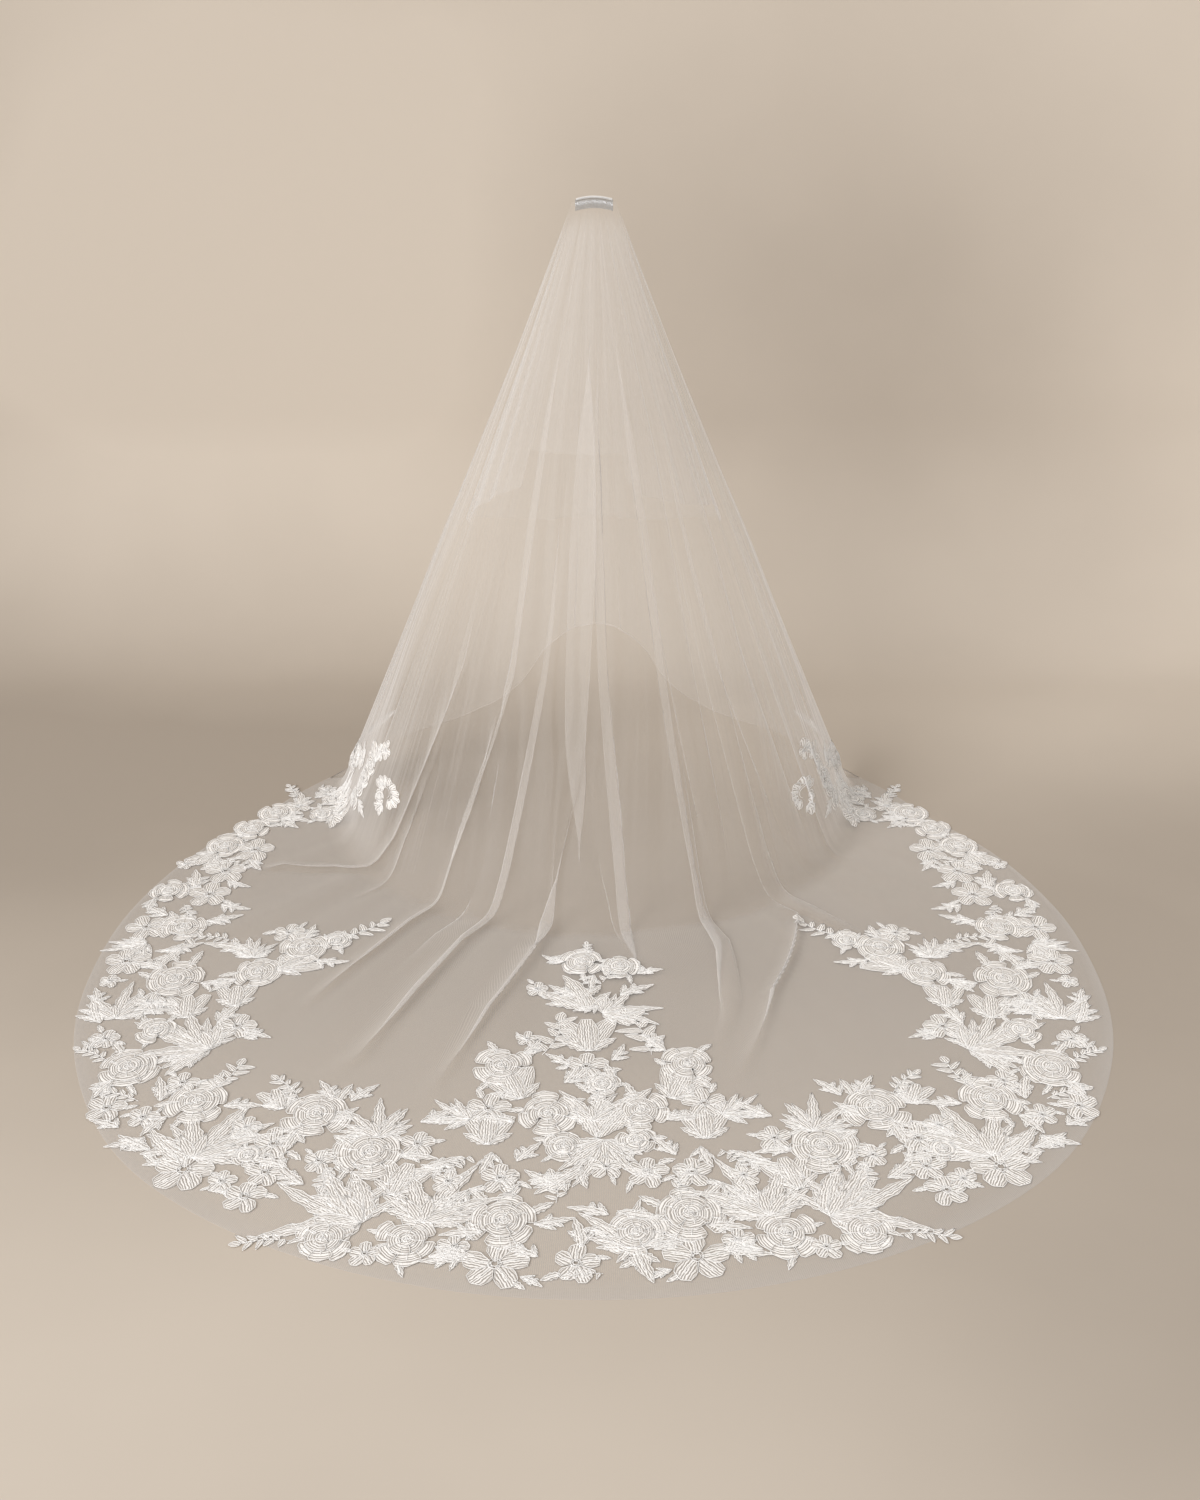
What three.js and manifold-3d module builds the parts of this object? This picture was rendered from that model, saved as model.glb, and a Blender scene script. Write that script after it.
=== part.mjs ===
// A bridal veil in two tiers of tulle, gathered on a wire comb, with corded floral lace
// along its border. Millimetres, +Z up, +Y away from the train, origin at the top of the comb.
// The veil hangs from its comb as it is worn: the front of the long tier falls to the floor
// and spreads as a round train, and its far side ends in an arch above the floor.

import * as THREE from 'three';
import { mergeVertices } from 'three/addons/utils/BufferGeometryUtils.js';
import Module from 'manifold-3d';

const wasm = await Module();
wasm.setup();

// Driving dimensions

const DROP = 1630; // comb above the floor
const COMB_WIDTH = 90;
const RAIL_HEIGHT = 5;
const RAIL_DEPTH = 4;
const TEETH = 20;
const TOOTH_LENGTH = 24;
const TOOTH_WIDTH = 1.8;
const TULLE_WALL = 2; // the tier with the seam and net of its gathers counted in
const BLUSHER_WALL = 1.6;
const CLEAR = 0.3; // between pieces that touch
const SLACK = 0.1; // more room where the gathered walls slant away from the comb
const TULLE_TOP = -2; // where the tulle is sewn to the rail
const CORNER = 113; // degrees from the front to the corner where the hem leaves the floor
const BEND = 55; // half length of the turn from hanging to lying
const LACE_WALL = 1.6;
const CORD_RISE = 1; // how far a flower's heart stands above its petals
const STEM_WIDTH = 9;
const LEAST_JOIN = 60; // cubic millimetres that two motifs share where no stem is needed
const TRAIN_MIDDLE = -850; // y of the train's middle
const TRAIN_TURN = 147 / CORNER; // the train fans out by this much more than the tier's top
const BACK_LINE = 300; // how far behind the comb the far side points at floor level
const BLUSHER_SHARE = 0.86; // of the long tier's reach
const MOST_HALF = 2.8; // degrees from a fold's crest to its foot, at most
const EDGE_HALF = 3.6; // the same columns' spread at the train's edge
const LAST_FOLD_ROW = 1.5; // beyond it the train lies flat
const HEM_STRIP = 0.02; // share of the corner's strand that the lower rows cover
const BACK_STRIP = 0.15; // share of the middle strand behind that they cover

// Where the strand at each angle from the front meets the floor, from the plumb line

const REACH = [
  { angle: 0, reach: 630 },
  { angle: 40, reach: 635 },
  { angle: 80, reach: 660 },
  { angle: 100, reach: 700 },
  { angle: CORNER, reach: 768 },
];

// The train's edge, by the angle round its middle

const TRAIN = [
  { angle: 0, radius: 1205 },
  { angle: 45, radius: 1208 },
  { angle: 70, radius: 1176 },
  { angle: 90, radius: 1162 },
  { angle: 107, radius: 1183 },
  { angle: 124, radius: 1226 },
  { angle: 133, radius: 1250 },
  { angle: 141, radius: 1315 },
  { angle: 147, radius: 1369 },
];

// The arch at the far side: the share of the whole drop that each strand hangs

const ARCH = [
  { angle: CORNER, share: 1 },
  { angle: 115, share: 0.945 },
  { angle: 118, share: 0.912 },
  { angle: 124, share: 0.885 },
  { angle: 132, share: 0.855 },
  { angle: 141, share: 0.81 },
  { angle: 151, share: 0.745 },
  { angle: 165, share: 0.71 },
  { angle: 180, share: 0.7 },
];

// The blusher's hem: level in front, and raised at the far side

const BLUSHER_HEM = [
  { angle: 0, share: 0.51 },
  { angle: 90, share: 0.5 },
  { angle: 135, share: 0.478 },
  { angle: 160, share: 0.45 },
  { angle: 180, share: 0.4 },
];

// Rows of the long tier down each strand: 0 to 1 hangs and 1 to 2 lies on the floor

const ROWS = [0, 0.07, 0.18, 0.34, 0.52, 0.68, 0.82, 0.92, 0.975,
  1.02, 1.07, 1.16, 1.28, 1.4, 1.5, 2];
const BLUSHER_ROWS = [0, 0.1, 0.3, 0.55, 0.8, 1];
const BLUSHER_STEP = 11.25; // degrees between its columns
const BLUSHER_RIPPLE = 12;

// The main folds of the long tier. Each runs from one row to another with its crest at
// these angles where the rows of FOLD_STATIONS pass it. plain is how many flat columns
// come after it.

const FOLD_STATIONS = [0, 0.65, 0.93, 1.1, 1.3, 1.52, 2];

const FOLDS = [
  { name: 'flap left', crest: [-98, -98, -98, -98, -98, -99, -102],
    from: 0.05, to: 0.86, width: 26, height: 12, plain: 0 },
  { name: 'edge left', crest: [-84, -85, -86, -87, -88.3, -89.5, -91],
    from: 0.05, to: 0.97, width: 34, height: 18, plain: 1 },
  { name: 'scroll seat left', crest: [-68, -67, -66, -76, -83.2, -85.6, -80],
    from: 0, to: 2, width: 60, height: 0, plain: 0 },
  { name: 'floor left', crest: [-55, -47, -56, -69, -78, -82, -69],
    from: 0.5, to: 1.46, width: 40, height: 22, plain: 1 },
  { name: 'long left', crest: [-33, -27.5, -36, -39, -39.5, -39.5, -53],
    from: 0.25, to: 1.4, width: 38, height: 24, plain: 1 },
  { name: 'broad left', crest: [-17, -18, -22.5, -26.5, -27.5, -27.5, -38],
    from: 0.45, to: 1.5, width: 46, height: 30, plain: 1 },
  { name: 'slant left', crest: [-10, -10.5, -11, -12, -15.5, -17, -24],
    from: 0.55, to: 1.44, width: 38, height: 24, plain: 0 },
  { name: 'centre pleat', crest: [-3, -5, -3.5, -5, -7, -8, -12],
    from: 0.03, to: 0.98, width: 50, height: 20, plain: 0 },
  { name: 'short middle', crest: [4, 3.5, 5, 8, 8.5, 5.5, 0],
    from: 0.7, to: 1.12, width: 28, height: 14, plain: 0 },
  { name: 'right pleat', crest: [11, 15.5, 16.5, 16, 14.5, 9, 12],
    from: 0.3, to: 1.2, width: 40, height: 26, plain: 0 },
  { name: 'right run', crest: [20, 21, 22, 24, 20, 12, 24],
    from: 0.8, to: 1.36, width: 30, height: 18, plain: 0 },
  { name: 'diagonal', crest: [32, 35, 40, 43, 26, 15.5, 37],
    from: 0.98, to: 1.47, width: 44, height: 28, plain: 2 },
  { name: 'corner right', crest: [53, 50, 57, 66, 73, 75, 63],
    from: 0.4, to: 0.97, width: 36, height: 20, plain: 0 },
  { name: 'scroll seat right', crest: [68, 67, 66, 76, 82, 83, 77],
    from: 0, to: 2, width: 60, height: 0, plain: 0 },
  { name: 'edge right', crest: [80, 84, 86, 87, 88.3, 89.5, 90],
    from: 0.05, to: 0.93, width: 34, height: 18, plain: 0 },
  { name: 'flap right', crest: [98, 98, 98, 98, 98, 99, 102],
    from: 0.05, to: 0.86, width: 26, height: 12, plain: 0 },
];

// Columns past the folds and round the far side, with how far each leans out, so that
// the curtain behind ripples

const BACK_COLUMNS = [
  { angle: 108.5, ripple: 0 },
  { angle: CORNER, ripple: 0 },
  { angle: 115, ripple: 0 },
  { angle: 118, ripple: 0 },
  { angle: 124, ripple: 3 },
  { angle: 132, ripple: -3 },
  { angle: 141, ripple: 4 },
  { angle: 151, ripple: -4 },
  { angle: 165, ripple: 5 },
  { angle: 180, ripple: -3 },
];

// Lace, left half, seen from above. A leaf, fan, bud or sprig starts at x, y and points
// along turn, in degrees anticlockwise from +Y. A rose or blossom has its middle there.
// size is a length or a radius.

const LACE = {
  shoulder: [
    { form: 'rose', x: -862, y: 50, size: 50, turn: 0 },
    { form: 'blossom', x: -808, y: 96, size: 36, turn: 20 },
    { form: 'leaf', x: -806, y: 95, size: 95, turn: -2 },
    { form: 'leaf', x: -850, y: 20, size: 95, turn: -95 },
  ],
  back: [
    { form: 'rose', x: -912, y: -52, size: 50, turn: 10 },
    { form: 'rose', x: -965, y: -160, size: 52, turn: 0 },
    { form: 'blossom', x: -884, y: -186, size: 54, turn: 0 },
    { form: 'bud', x: -985, y: -200, size: 82, turn: 150 },
    { form: 'blossom', x: -940, y: -312, size: 56, turn: 15 },
    { form: 'leaf', x: -1005, y: -410, size: 105, turn: -2 },
  ],
  flank: [
    { form: 'rose', x: -1062, y: -424, size: 46, turn: 0 },
    { form: 'blossom', x: -958, y: -446, size: 55, turn: 8 },
    { form: 'leaf', x: -1040, y: -560, size: 85, turn: 55 },
    { form: 'rose', x: -990, y: -622, size: 58, turn: 0 },
    { form: 'blossom', x: -1080, y: -622, size: 50, turn: 30 },
  ],
  side: [
    { form: 'fan', x: -1062, y: -705, size: 112, turn: 128 },
    { form: 'blossom', x: -1092, y: -795, size: 54, turn: 10 },
    { form: 'rose', x: -962, y: -880, size: 70, turn: 0 },
    { form: 'leaf', x: -975, y: -730, size: 110, turn: 150 },
    { form: 'leaf', x: -1015, y: -740, size: 95, turn: -75 },
    { form: 'fan', x: -1060, y: -1060, size: 160, turn: 12 },
    { form: 'leaf', x: -1090, y: -1080, size: 120, turn: 25 },
    { form: 'bud', x: -905, y: -1056, size: 95, turn: 8 },
  ],
  spur: [
    { form: 'rose', x: -776, y: -848, size: 56, turn: 0 },
    { form: 'rose', x: -686, y: -728, size: 58, turn: 15 },
    { form: 'bud', x: -735, y: -835, size: 105, turn: -55 },
    { form: 'blossom', x: -732, y: -652, size: 38, turn: 0 },
    { form: 'fan', x: -800, y: -775, size: 100, turn: 12 },
    { form: 'leaf', x: -800, y: -745, size: 130, turn: 62 },
    { form: 'rose', x: -612, y: -694, size: 34, turn: 0 },
    { form: 'sprig', x: -615, y: -680, size: 125, turn: -48 },
  ],
  bell: [
    { form: 'bud', x: -806, y: -1005, size: 88, turn: 5 },
    { form: 'leaf', x: -830, y: -1080, size: 95, turn: -18 },
    { form: 'blossom', x: -785, y: -1095, size: 46, turn: 0 },
    { form: 'leaf', x: -828, y: -1185, size: 110, turn: -12 },
    { form: 'fan', x: -826, y: -1192, size: 220, turn: 72 },
    { form: 'leaf', x: -835, y: -1195, size: 125, turn: 140 },
    { form: 'rose', x: -990, y: -1268, size: 66, turn: 0 },
  ],
  lower: [
    { form: 'rose', x: -820, y: -1402, size: 62, turn: 0 },
    { form: 'sprig', x: -800, y: -1360, size: 110, turn: -20 },
    { form: 'blossom', x: -862, y: -1330, size: 36, turn: 0 },
    { form: 'blossom', x: -918, y: -1462, size: 34, turn: 0 },
    { form: 'blossom', x: -1000, y: -1428, size: 42, turn: 0 },
    { form: 'leaf', x: -895, y: -1400, size: 95, turn: 5 },
    { form: 'fan', x: -790, y: -1610, size: 225, turn: -12 },
    { form: 'leaf', x: -800, y: -1625, size: 150, turn: 50 },
    { form: 'blossom', x: -800, y: -1650, size: 66, turn: 0 },
  ],
  garland: [
    { form: 'rose', x: -566, y: -1450, size: 68, turn: 0 },
    { form: 'bud', x: -640, y: -1430, size: 75, turn: 20 },
    { form: 'leaf', x: -545, y: -1475, size: 80, turn: -60 },
    { form: 'blossom', x: -638, y: -1560, size: 46, turn: 0 },
    { form: 'leaf', x: -590, y: -1490, size: 110, turn: 160 },
    { form: 'leaf', x: -520, y: -1530, size: 100, turn: -130 },
    { form: 'rose', x: -442, y: -1588, size: 68, turn: 10 },
    { form: 'fan', x: -430, y: -1535, size: 150, turn: 15 },
  ],
  spray: [
    { form: 'fan', x: -435, y: -1825, size: 240, turn: 72 },
    { form: 'leaf', x: -435, y: -1820, size: 190, turn: 35 },
    { form: 'leaf', x: -430, y: -1820, size: 165, turn: 3 },
    { form: 'blossom', x: -668, y: -1740, size: 44, turn: 0 },
    { form: 'blossom', x: -640, y: -1660, size: 40, turn: 0 },
    { form: 'rose', x: -500, y: -1875, size: 54, turn: 0 },
    { form: 'rose', x: -345, y: -1880, size: 58, turn: 0 },
    { form: 'blossom', x: -418, y: -1922, size: 32, turn: 0 },
    { form: 'fan', x: -320, y: -1825, size: 215, turn: -12 },
    { form: 'bud', x: -385, y: -1735, size: 105, turn: -15 },
  ],
  arm: [
    { form: 'bud', x: -212, y: -1560, size: 100, turn: 0 },
    { form: 'blossom', x: -215, y: -1430, size: 44, turn: 0 },
    { form: 'fan', x: -250, y: -1470, size: 110, turn: 65 },
    { form: 'leaf', x: -200, y: -1590, size: 75, turn: 170 },
  ],
  hem: [
    { form: 'rose', x: -170, y: -1818, size: 68, turn: 0 },
    { form: 'leaf', x: -205, y: -1855, size: 80, turn: 85 },
    { form: 'blossom', x: -178, y: -1952, size: 60, turn: 0 },
    { form: 'blossom', x: -180, y: -1680, size: 42, turn: 0 },
  ],
};

// Lace of the middle, which is not mirrored

const LACE_MIDDLE = {
  bouquet: [
    { form: 'rose', x: -28, y: -808, size: 50, turn: 0 },
    { form: 'rose', x: 60, y: -828, size: 42, turn: 0 },
    { form: 'sprig', x: -22, y: -785, size: 62, turn: 0 },
    { form: 'leaf', x: -10, y: -1035, size: 175, turn: 8 },
    { form: 'leaf', x: -20, y: -1030, size: 150, turn: 42 },
    { form: 'blossom', x: -128, y: -930, size: 28, turn: 0 },
    { form: 'fan', x: 20, y: -1040, size: 150, turn: -62 },
  ],
  stem: [
    { form: 'bud', x: -10, y: -1200, size: 125, turn: 3 },
    { form: 'sprig', x: -110, y: -1215, size: 145, turn: -10 },
    { form: 'sprig', x: 125, y: -1215, size: 170, turn: 22 },
    { form: 'rose', x: -195, y: -1262, size: 60, turn: 0 },
    { form: 'rose', x: 200, y: -1255, size: 56, turn: 0 },
    { form: 'bud', x: -150, y: -1390, size: 110, turn: 20 },
    { form: 'bud', x: 165, y: -1390, size: 105, turn: -20 },
    { form: 'blossom', x: -15, y: -1265, size: 46, turn: 0 },
    { form: 'rose', x: -93, y: -1450, size: 60, turn: 0 },
    { form: 'rose', x: 97, y: -1436, size: 56, turn: 0 },
    { form: 'leaf', x: 12, y: -1535, size: 210, turn: -22 },
    { form: 'leaf', x: 8, y: -1535, size: 150, turn: 12 },
  ],
  heart: [
    { form: 'fan', x: 20, y: -1545, size: 165, turn: 180 },
    { form: 'rose', x: -58, y: -1568, size: 42, turn: 0 },
    { form: 'rose', x: 87, y: -1548, size: 38, turn: 0 },
    { form: 'leaf', x: -20, y: -1640, size: 130, turn: 140 },
    { form: 'blossom', x: 105, y: -1658, size: 42, turn: 0 },
    { form: 'fan', x: 78, y: -1905, size: 170, turn: 15 },
    { form: 'rose', x: 80, y: -1855, size: 58, turn: 0 },
    { form: 'leaf', x: 78, y: -1880, size: 130, turn: 185 },
    { form: 'blossom', x: -30, y: -1950, size: 46, turn: 0 },
    { form: 'leaf', x: -20, y: -1900, size: 90, turn: 2 },
  ],
};

// Lace on the hanging cloth, drawn on the cloth with y up the strand from the anchor point

const LACE_HUNG = {
  corner: {
    angle: 108.5, row: 0.95,
    motifs: [
      { form: 'blossom', x: -26, y: 40, size: 26, turn: 0 },
      { form: 'bud', x: 4, y: 0, size: 62, turn: 20 },
      { form: 'rose', x: 6, y: -8, size: 28, turn: 0 },
      { form: 'leaf', x: -10, y: 0, size: 60, turn: -20 },
    ],
  },
  scroll: {
    angle: 66, row: 0.885,
    motifs: [
      { form: 'rose', x: 0, y: 0, size: 28, turn: 0 },
      { form: 'bud', x: 0, y: -50, size: 56, turn: 0 },
    ],
  },
};

// How far the right half of each applique lies off a true mirror of the left

const DRIFT = {
  shoulder: { x: -10, y: 0 },
  back: { x: -14, y: 0 },
  flank: { x: -16, y: 0 },
  side: { x: -22, y: 0 },
  spur: { x: -10, y: 0 },
  bell: { x: -16, y: 0 },
  lower: { x: 0, y: 10 },
  garland: { x: 14, y: 22 },
  spray: { x: 14, y: 22 },
  arm: { x: 14, y: 22 },
  hem: { x: 14, y: 22 },
};

// Colours and finishes

const TULLE = new THREE.MeshStandardMaterial({ color: 0xf3eee8, roughness: 0.85, metalness: 0 });
const LACE_THREAD = new THREE.MeshStandardMaterial({ color: 0xfaf7f2, roughness: 0.7, metalness: 0 });
const WIRE = new THREE.MeshStandardMaterial({ color: 0xc9ccd0, roughness: 0.3, metalness: 1 });

// A smooth curve through the rows of a table

function tableAt(table, angle, column) {
  const last = table.length - 1;
  let i = table.findIndex((row) => row.angle > angle) - 1;
  if (i < 0) i = angle < table[0].angle ? 0 : last - 1;
  const slope = (a, b) => (table[b][column] - table[a][column]) / (table[b].angle - table[a].angle);
  const here = slope(i, i + 1);
  const before = i > 0 ? slope(i - 1, i) : here;
  const after = i + 1 < last ? slope(i + 1, i + 2) : here;
  const start = before * here > 0 ? 2 * before * here / (before + here) : 0;
  const end = after * here > 0 ? 2 * after * here / (after + here) : 0;
  const width = table[i + 1].angle - table[i].angle;
  const t = Math.min(1, Math.max(0, (angle - table[i].angle) / width));
  const ease = t * t * (3 - 2 * t);
  return table[i][column] * (1 - ease) + table[i + 1][column] * ease
    + width * t * (1 - t) * (start * (1 - t) - end * t);
}

// The ring that a tier is gathered on: a flat loop round the comb's rail

function gatherPoint(angle, ringRadius) {
  const half = COMB_WIDTH / 2 + CLEAR + SLACK;
  const arc = Math.PI * ringRadius;
  const along = Math.abs(angle) / 180 * (2 * half + arc);
  const side = Math.sign(angle) || 1;
  if (along <= half) return new THREE.Vector3(side * along, -ringRadius, TULLE_TOP);
  if (along >= half + arc) {
    return new THREE.Vector3(side * (2 * half + arc - along), ringRadius, TULLE_TOP);
  }
  const turn = (along - half) / ringRadius;
  return new THREE.Vector3(
    side * (half + ringRadius * Math.sin(turn)), -ringRadius * Math.cos(turn), TULLE_TOP);
}

// Where a strand of the long tier meets the floor, or would meet it at the far side

function footPoint(angle) {
  const side = THREE.MathUtils.degToRad(angle);
  const reach = Math.abs(angle) <= CORNER
    ? tableAt(REACH, Math.abs(angle), 'reach') : BACK_LINE / Math.abs(Math.cos(side));
  return new THREE.Vector3(reach * Math.sin(side), -reach * Math.cos(side), -DROP);
}

// Where a strand ends on the train's edge

function trainPoint(angle) {
  const round = Math.abs(angle) * TRAIN_TURN;
  const radius = tableAt(TRAIN, round, 'radius');
  const turn = THREE.MathUtils.degToRad(round) * Math.sign(angle);
  return new THREE.Vector3(radius * Math.sin(turn), TRAIN_MIDDLE - radius * Math.cos(turn), -DROP);
}

const INNER_RING = RAIL_DEPTH / 2 + CLEAR + SLACK;
const OUTER_RING = INNER_RING + BLUSHER_WALL + CLEAR + SLACK;

// A point of the long tier's inner face, at an angle from the front and a row down the strand

function tierPoint(angle, row) {
  const top = gatherPoint(angle, OUTER_RING);
  const foot = footPoint(angle);
  if (Math.abs(angle) > CORNER) {
    const share = tableAt(ARCH, Math.abs(angle), 'share');
    const strip = THREE.MathUtils.mapLinear(Math.abs(angle), CORNER, 180, HEM_STRIP, BACK_STRIP);
    const down = row <= 1 ? row * (1 - strip) : 1 - strip * (2 - row);
    return top.lerp(foot, down * share);
  }
  const edge = trainPoint(angle);
  const hang = top.distanceTo(foot);
  const lie = foot.distanceTo(edge);
  const down = row <= 1 ? row * hang : hang + (row - 1) * lie;
  const bend = Math.min(BEND, lie / 4);
  const into = foot.clone().lerp(top, bend / hang);
  const out = foot.clone().lerp(edge, bend / lie);
  if (down < hang - bend) return top.lerp(foot, down / hang);
  if (down > hang + bend) return foot.lerp(edge, (down - hang) / lie);
  const t = (down - hang + bend) / (2 * bend);
  return into.multiplyScalar((1 - t) * (1 - t)).addScaledVector(foot, 2 * t * (1 - t))
    .addScaledVector(out, t * t);
}

// The direction that faces out of a tier, from the comb side down to the train's top face

function outward(pointAt, angle, row, lastRow) {
  const step = 0.01;
  const across = pointAt(angle + 1, row).sub(pointAt(angle - 1, row));
  const down = pointAt(angle, Math.min(lastRow, row + step))
    .sub(pointAt(angle, Math.max(0, row - step)));
  return down.cross(across).normalize();
}

function wrapAngle(angle) {
  return angle > 180 ? angle - 360 : angle < -180 ? angle + 360 : angle;
}

// A closed wall between an inner and an outer grid of points that both run all the way round

function shellGeometry(inner, outer) {
  const rows = inner.length;
  const columns = inner[0].length;
  const positions = [...inner, ...outer].flat().flatMap((p) => [p.x, p.y, p.z]);
  const at = (face, row, column) => (face * rows + row) * columns + column % columns;
  const indices = [];
  const quad = (a, b, c, d) => indices.push(a, b, c, a, c, d);
  for (let c = 0; c < columns; c++) {
    for (let r = 0; r + 1 < rows; r++) {
      quad(at(0, r, c), at(0, r, c + 1), at(0, r + 1, c + 1), at(0, r + 1, c));
      quad(at(1, r, c), at(1, r + 1, c), at(1, r + 1, c + 1), at(1, r, c + 1));
    }
    quad(at(0, 0, c), at(1, 0, c), at(1, 0, c + 1), at(0, 0, c + 1));
    quad(at(0, rows - 1, c), at(0, rows - 1, c + 1), at(1, rows - 1, c + 1), at(1, rows - 1, c));
  }
  const geometry = new THREE.BufferGeometry();
  geometry.setAttribute('position', new THREE.Float32BufferAttribute(positions, 3));
  geometry.setIndex(indices);
  return geometry;
}

// The angle of a fold's crest at a row

function crestAt(fold, row) {
  let i = FOLD_STATIONS.findIndex((station) => station >= row);
  i = Math.max(1, i);
  const t = (row - FOLD_STATIONS[i - 1]) / (FOLD_STATIONS[i] - FOLD_STATIONS[i - 1]);
  return THREE.MathUtils.lerp(fold.crest[i - 1], fold.crest[i], t);
}

// How high a fold stands at a row: it swells from nothing and dies away again

function foldHeight(fold, row) {
  if (row <= fold.from || row >= fold.to) return 0;
  const t = (row - fold.from) / (fold.to - fold.from);
  return fold.height * Math.min(1, 4 * t, 4 * (1 - t));
}

// Half a fold's width as an angle. It narrows where the tier gathers to the comb, and past
// the folds the columns spread out evenly to the train's edge

function halfAngle(fold, row) {
  const radius = tierPoint(crestAt(fold, row), row).setZ(0).length();
  const half = Math.min(MOST_HALF, THREE.MathUtils.radToDeg(fold.width / 2 / radius));
  const spread = Math.max(0, (row - LAST_FOLD_ROW) / (2 - LAST_FOLD_ROW));
  return THREE.MathUtils.lerp(half, EDGE_HALF, spread);
}

// The long tier's columns at a row: three to a fold, flat ones between, and the far side's

function tierColumns(row) {
  const columns = [];
  FOLDS.forEach((fold, i) => {
    const crest = crestAt(fold, row);
    const half = halfAngle(fold, row);
    columns.push({ angle: crest - half, lift: 0 });
    columns.push({ angle: crest, lift: foldHeight(fold, row) });
    columns.push({ angle: crest + half, lift: 0 });
    for (let k = 1; k <= fold.plain; k++) {
      const next = FOLDS[i + 1];
      const start = crest + half;
      const end = crestAt(next, row) - halfAngle(next, row);
      columns.push({ angle: THREE.MathUtils.lerp(start, end, k / (fold.plain + 1)), lift: 0 });
    }
  });
  const ripple = (column) => ({ angle: column.angle, lift: column.ripple * row / 2 });
  const right = BACK_COLUMNS.map(ripple);
  const left = BACK_COLUMNS.slice(0, -1).reverse()
    .map((column) => ({ ...ripple(column), angle: -column.angle }));
  return [...columns, ...right, ...left];
}

function makeVeilTier() {
  const inner = [];
  const outer = [];
  for (const row of ROWS) {
    const columns = tierColumns(row).map(({ angle, lift }) => {
      const point = tierPoint(angle, row);
      const out = outward((a, r) => tierPoint(wrapAngle(a), r), angle, row, 2);
      if (point.z < -DROP + SLACK) out.set(0, 0, 1);
      return {
        inner: point.clone().addScaledVector(out, lift),
        outer: point.clone().addScaledVector(out, lift + TULLE_WALL),
      };
    });
    inner.push(columns.map((column) => column.inner));
    outer.push(columns.map((column) => column.outer));
  }
  return shellGeometry(inner, outer);
}

// The blusher hangs inside the long tier, at a share of its reach

function blusherPoint(angle, row) {
  const top = gatherPoint(angle, INNER_RING);
  const foot = footPoint(angle);
  foot.x *= BLUSHER_SHARE;
  foot.y *= BLUSHER_SHARE;
  return top.lerp(foot, row * tableAt(BLUSHER_HEM, Math.abs(angle), 'share'));
}

function makeBlusherTier() {
  const inner = [];
  const outer = [];
  for (const row of BLUSHER_ROWS) {
    const lowerRow = [];
    const upperRow = [];
    for (let k = 0; k * BLUSHER_STEP < 360; k++) {
      const angle = k * BLUSHER_STEP - 180 + BLUSHER_STEP / 2;
      const point = blusherPoint(angle, row);
      const out = outward((a, r) => blusherPoint(wrapAngle(a), r), angle, row, 1);
      const lift = (k % 2) * BLUSHER_RIPPLE * row * row;
      lowerRow.push(point.clone().addScaledVector(out, lift));
      upperRow.push(point.clone().addScaledVector(out, lift + BLUSHER_WALL));
    }
    inner.push(lowerRow);
    outer.push(upperRow);
  }
  return shellGeometry(inner, outer);
}

// Booleans: a closed geometry to a solid and back

function solid(geometry) {
  const bare = geometry.clone();
  bare.deleteAttribute('normal');
  bare.deleteAttribute('uv');
  const merged = mergeVertices(bare, 1e-5);
  return new wasm.Manifold(new wasm.Mesh({
    numProp: 3,
    vertProperties: new Float32Array(merged.attributes.position.array),
    triVerts: new Uint32Array(merged.index.array),
  }));
}

function geometryOf(body) {
  const mesh = body.getMesh();
  const geometry = new THREE.BufferGeometry();
  geometry.setAttribute('position', new THREE.Float32BufferAttribute(mesh.vertProperties, 3));
  geometry.setIndex([...mesh.triVerts]);
  return geometry;
}

// Outlines of the lace's motifs, at a size of 1 and pointing along +Y

function petalRing(petals, inner) {
  const points = [];
  for (let k = 0; k < 2 * petals; k++) {
    const turn = k * Math.PI / petals;
    const radius = k % 2 ? inner : 1;
    points.push([-radius * Math.sin(turn), radius * Math.cos(turn)]);
  }
  return points;
}

function fanOutline(leaves, spread, valley) {
  const points = [[0.05, -0.02], [-0.05, -0.02]];
  for (let k = 0; k < 2 * leaves - 1; k++) {
    const turn = THREE.MathUtils.degToRad(spread * (1 - k / (leaves - 1)));
    const radius = k % 2 ? valley : 1 - 0.3 * Math.abs(k / (leaves - 1) - 1);
    points.push([-radius * Math.sin(turn), radius * Math.cos(turn)]);
  }
  return points;
}

function mirrored(half) {
  const other = half.filter(([x]) => x !== 0).map(([x, y]) => [-x, y]).reverse();
  return [...half, ...other];
}

const OUTLINES = {
  rose: petalRing(4, 0.9),
  blossom: petalRing(4, 0.55),
  leaf: mirrored([[0, -0.04], [-0.16, 0.42], [0, 1]]),
  fan: fanOutline(3, 32, 0.5),
  bud: mirrored([[0, 0], [-0.34, 0.38], [-0.26, 0.97], [0, 0.84]]),
  sprig: mirrored([[0, 0], [-0.2, 0.42], [-0.1, 0.8], [0, 1]]),
};

const HEART_SHARE = 0.45; // of a rose's radius
const HEART_LEAST = 60; // a smaller rose has no raised heart

function prism(points, height) {
  const shape = new THREE.Shape(points.map(([x, y]) => new THREE.Vector2(x, y)));
  return new THREE.ExtrudeGeometry(shape, { depth: height, bevelEnabled: false });
}

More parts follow.
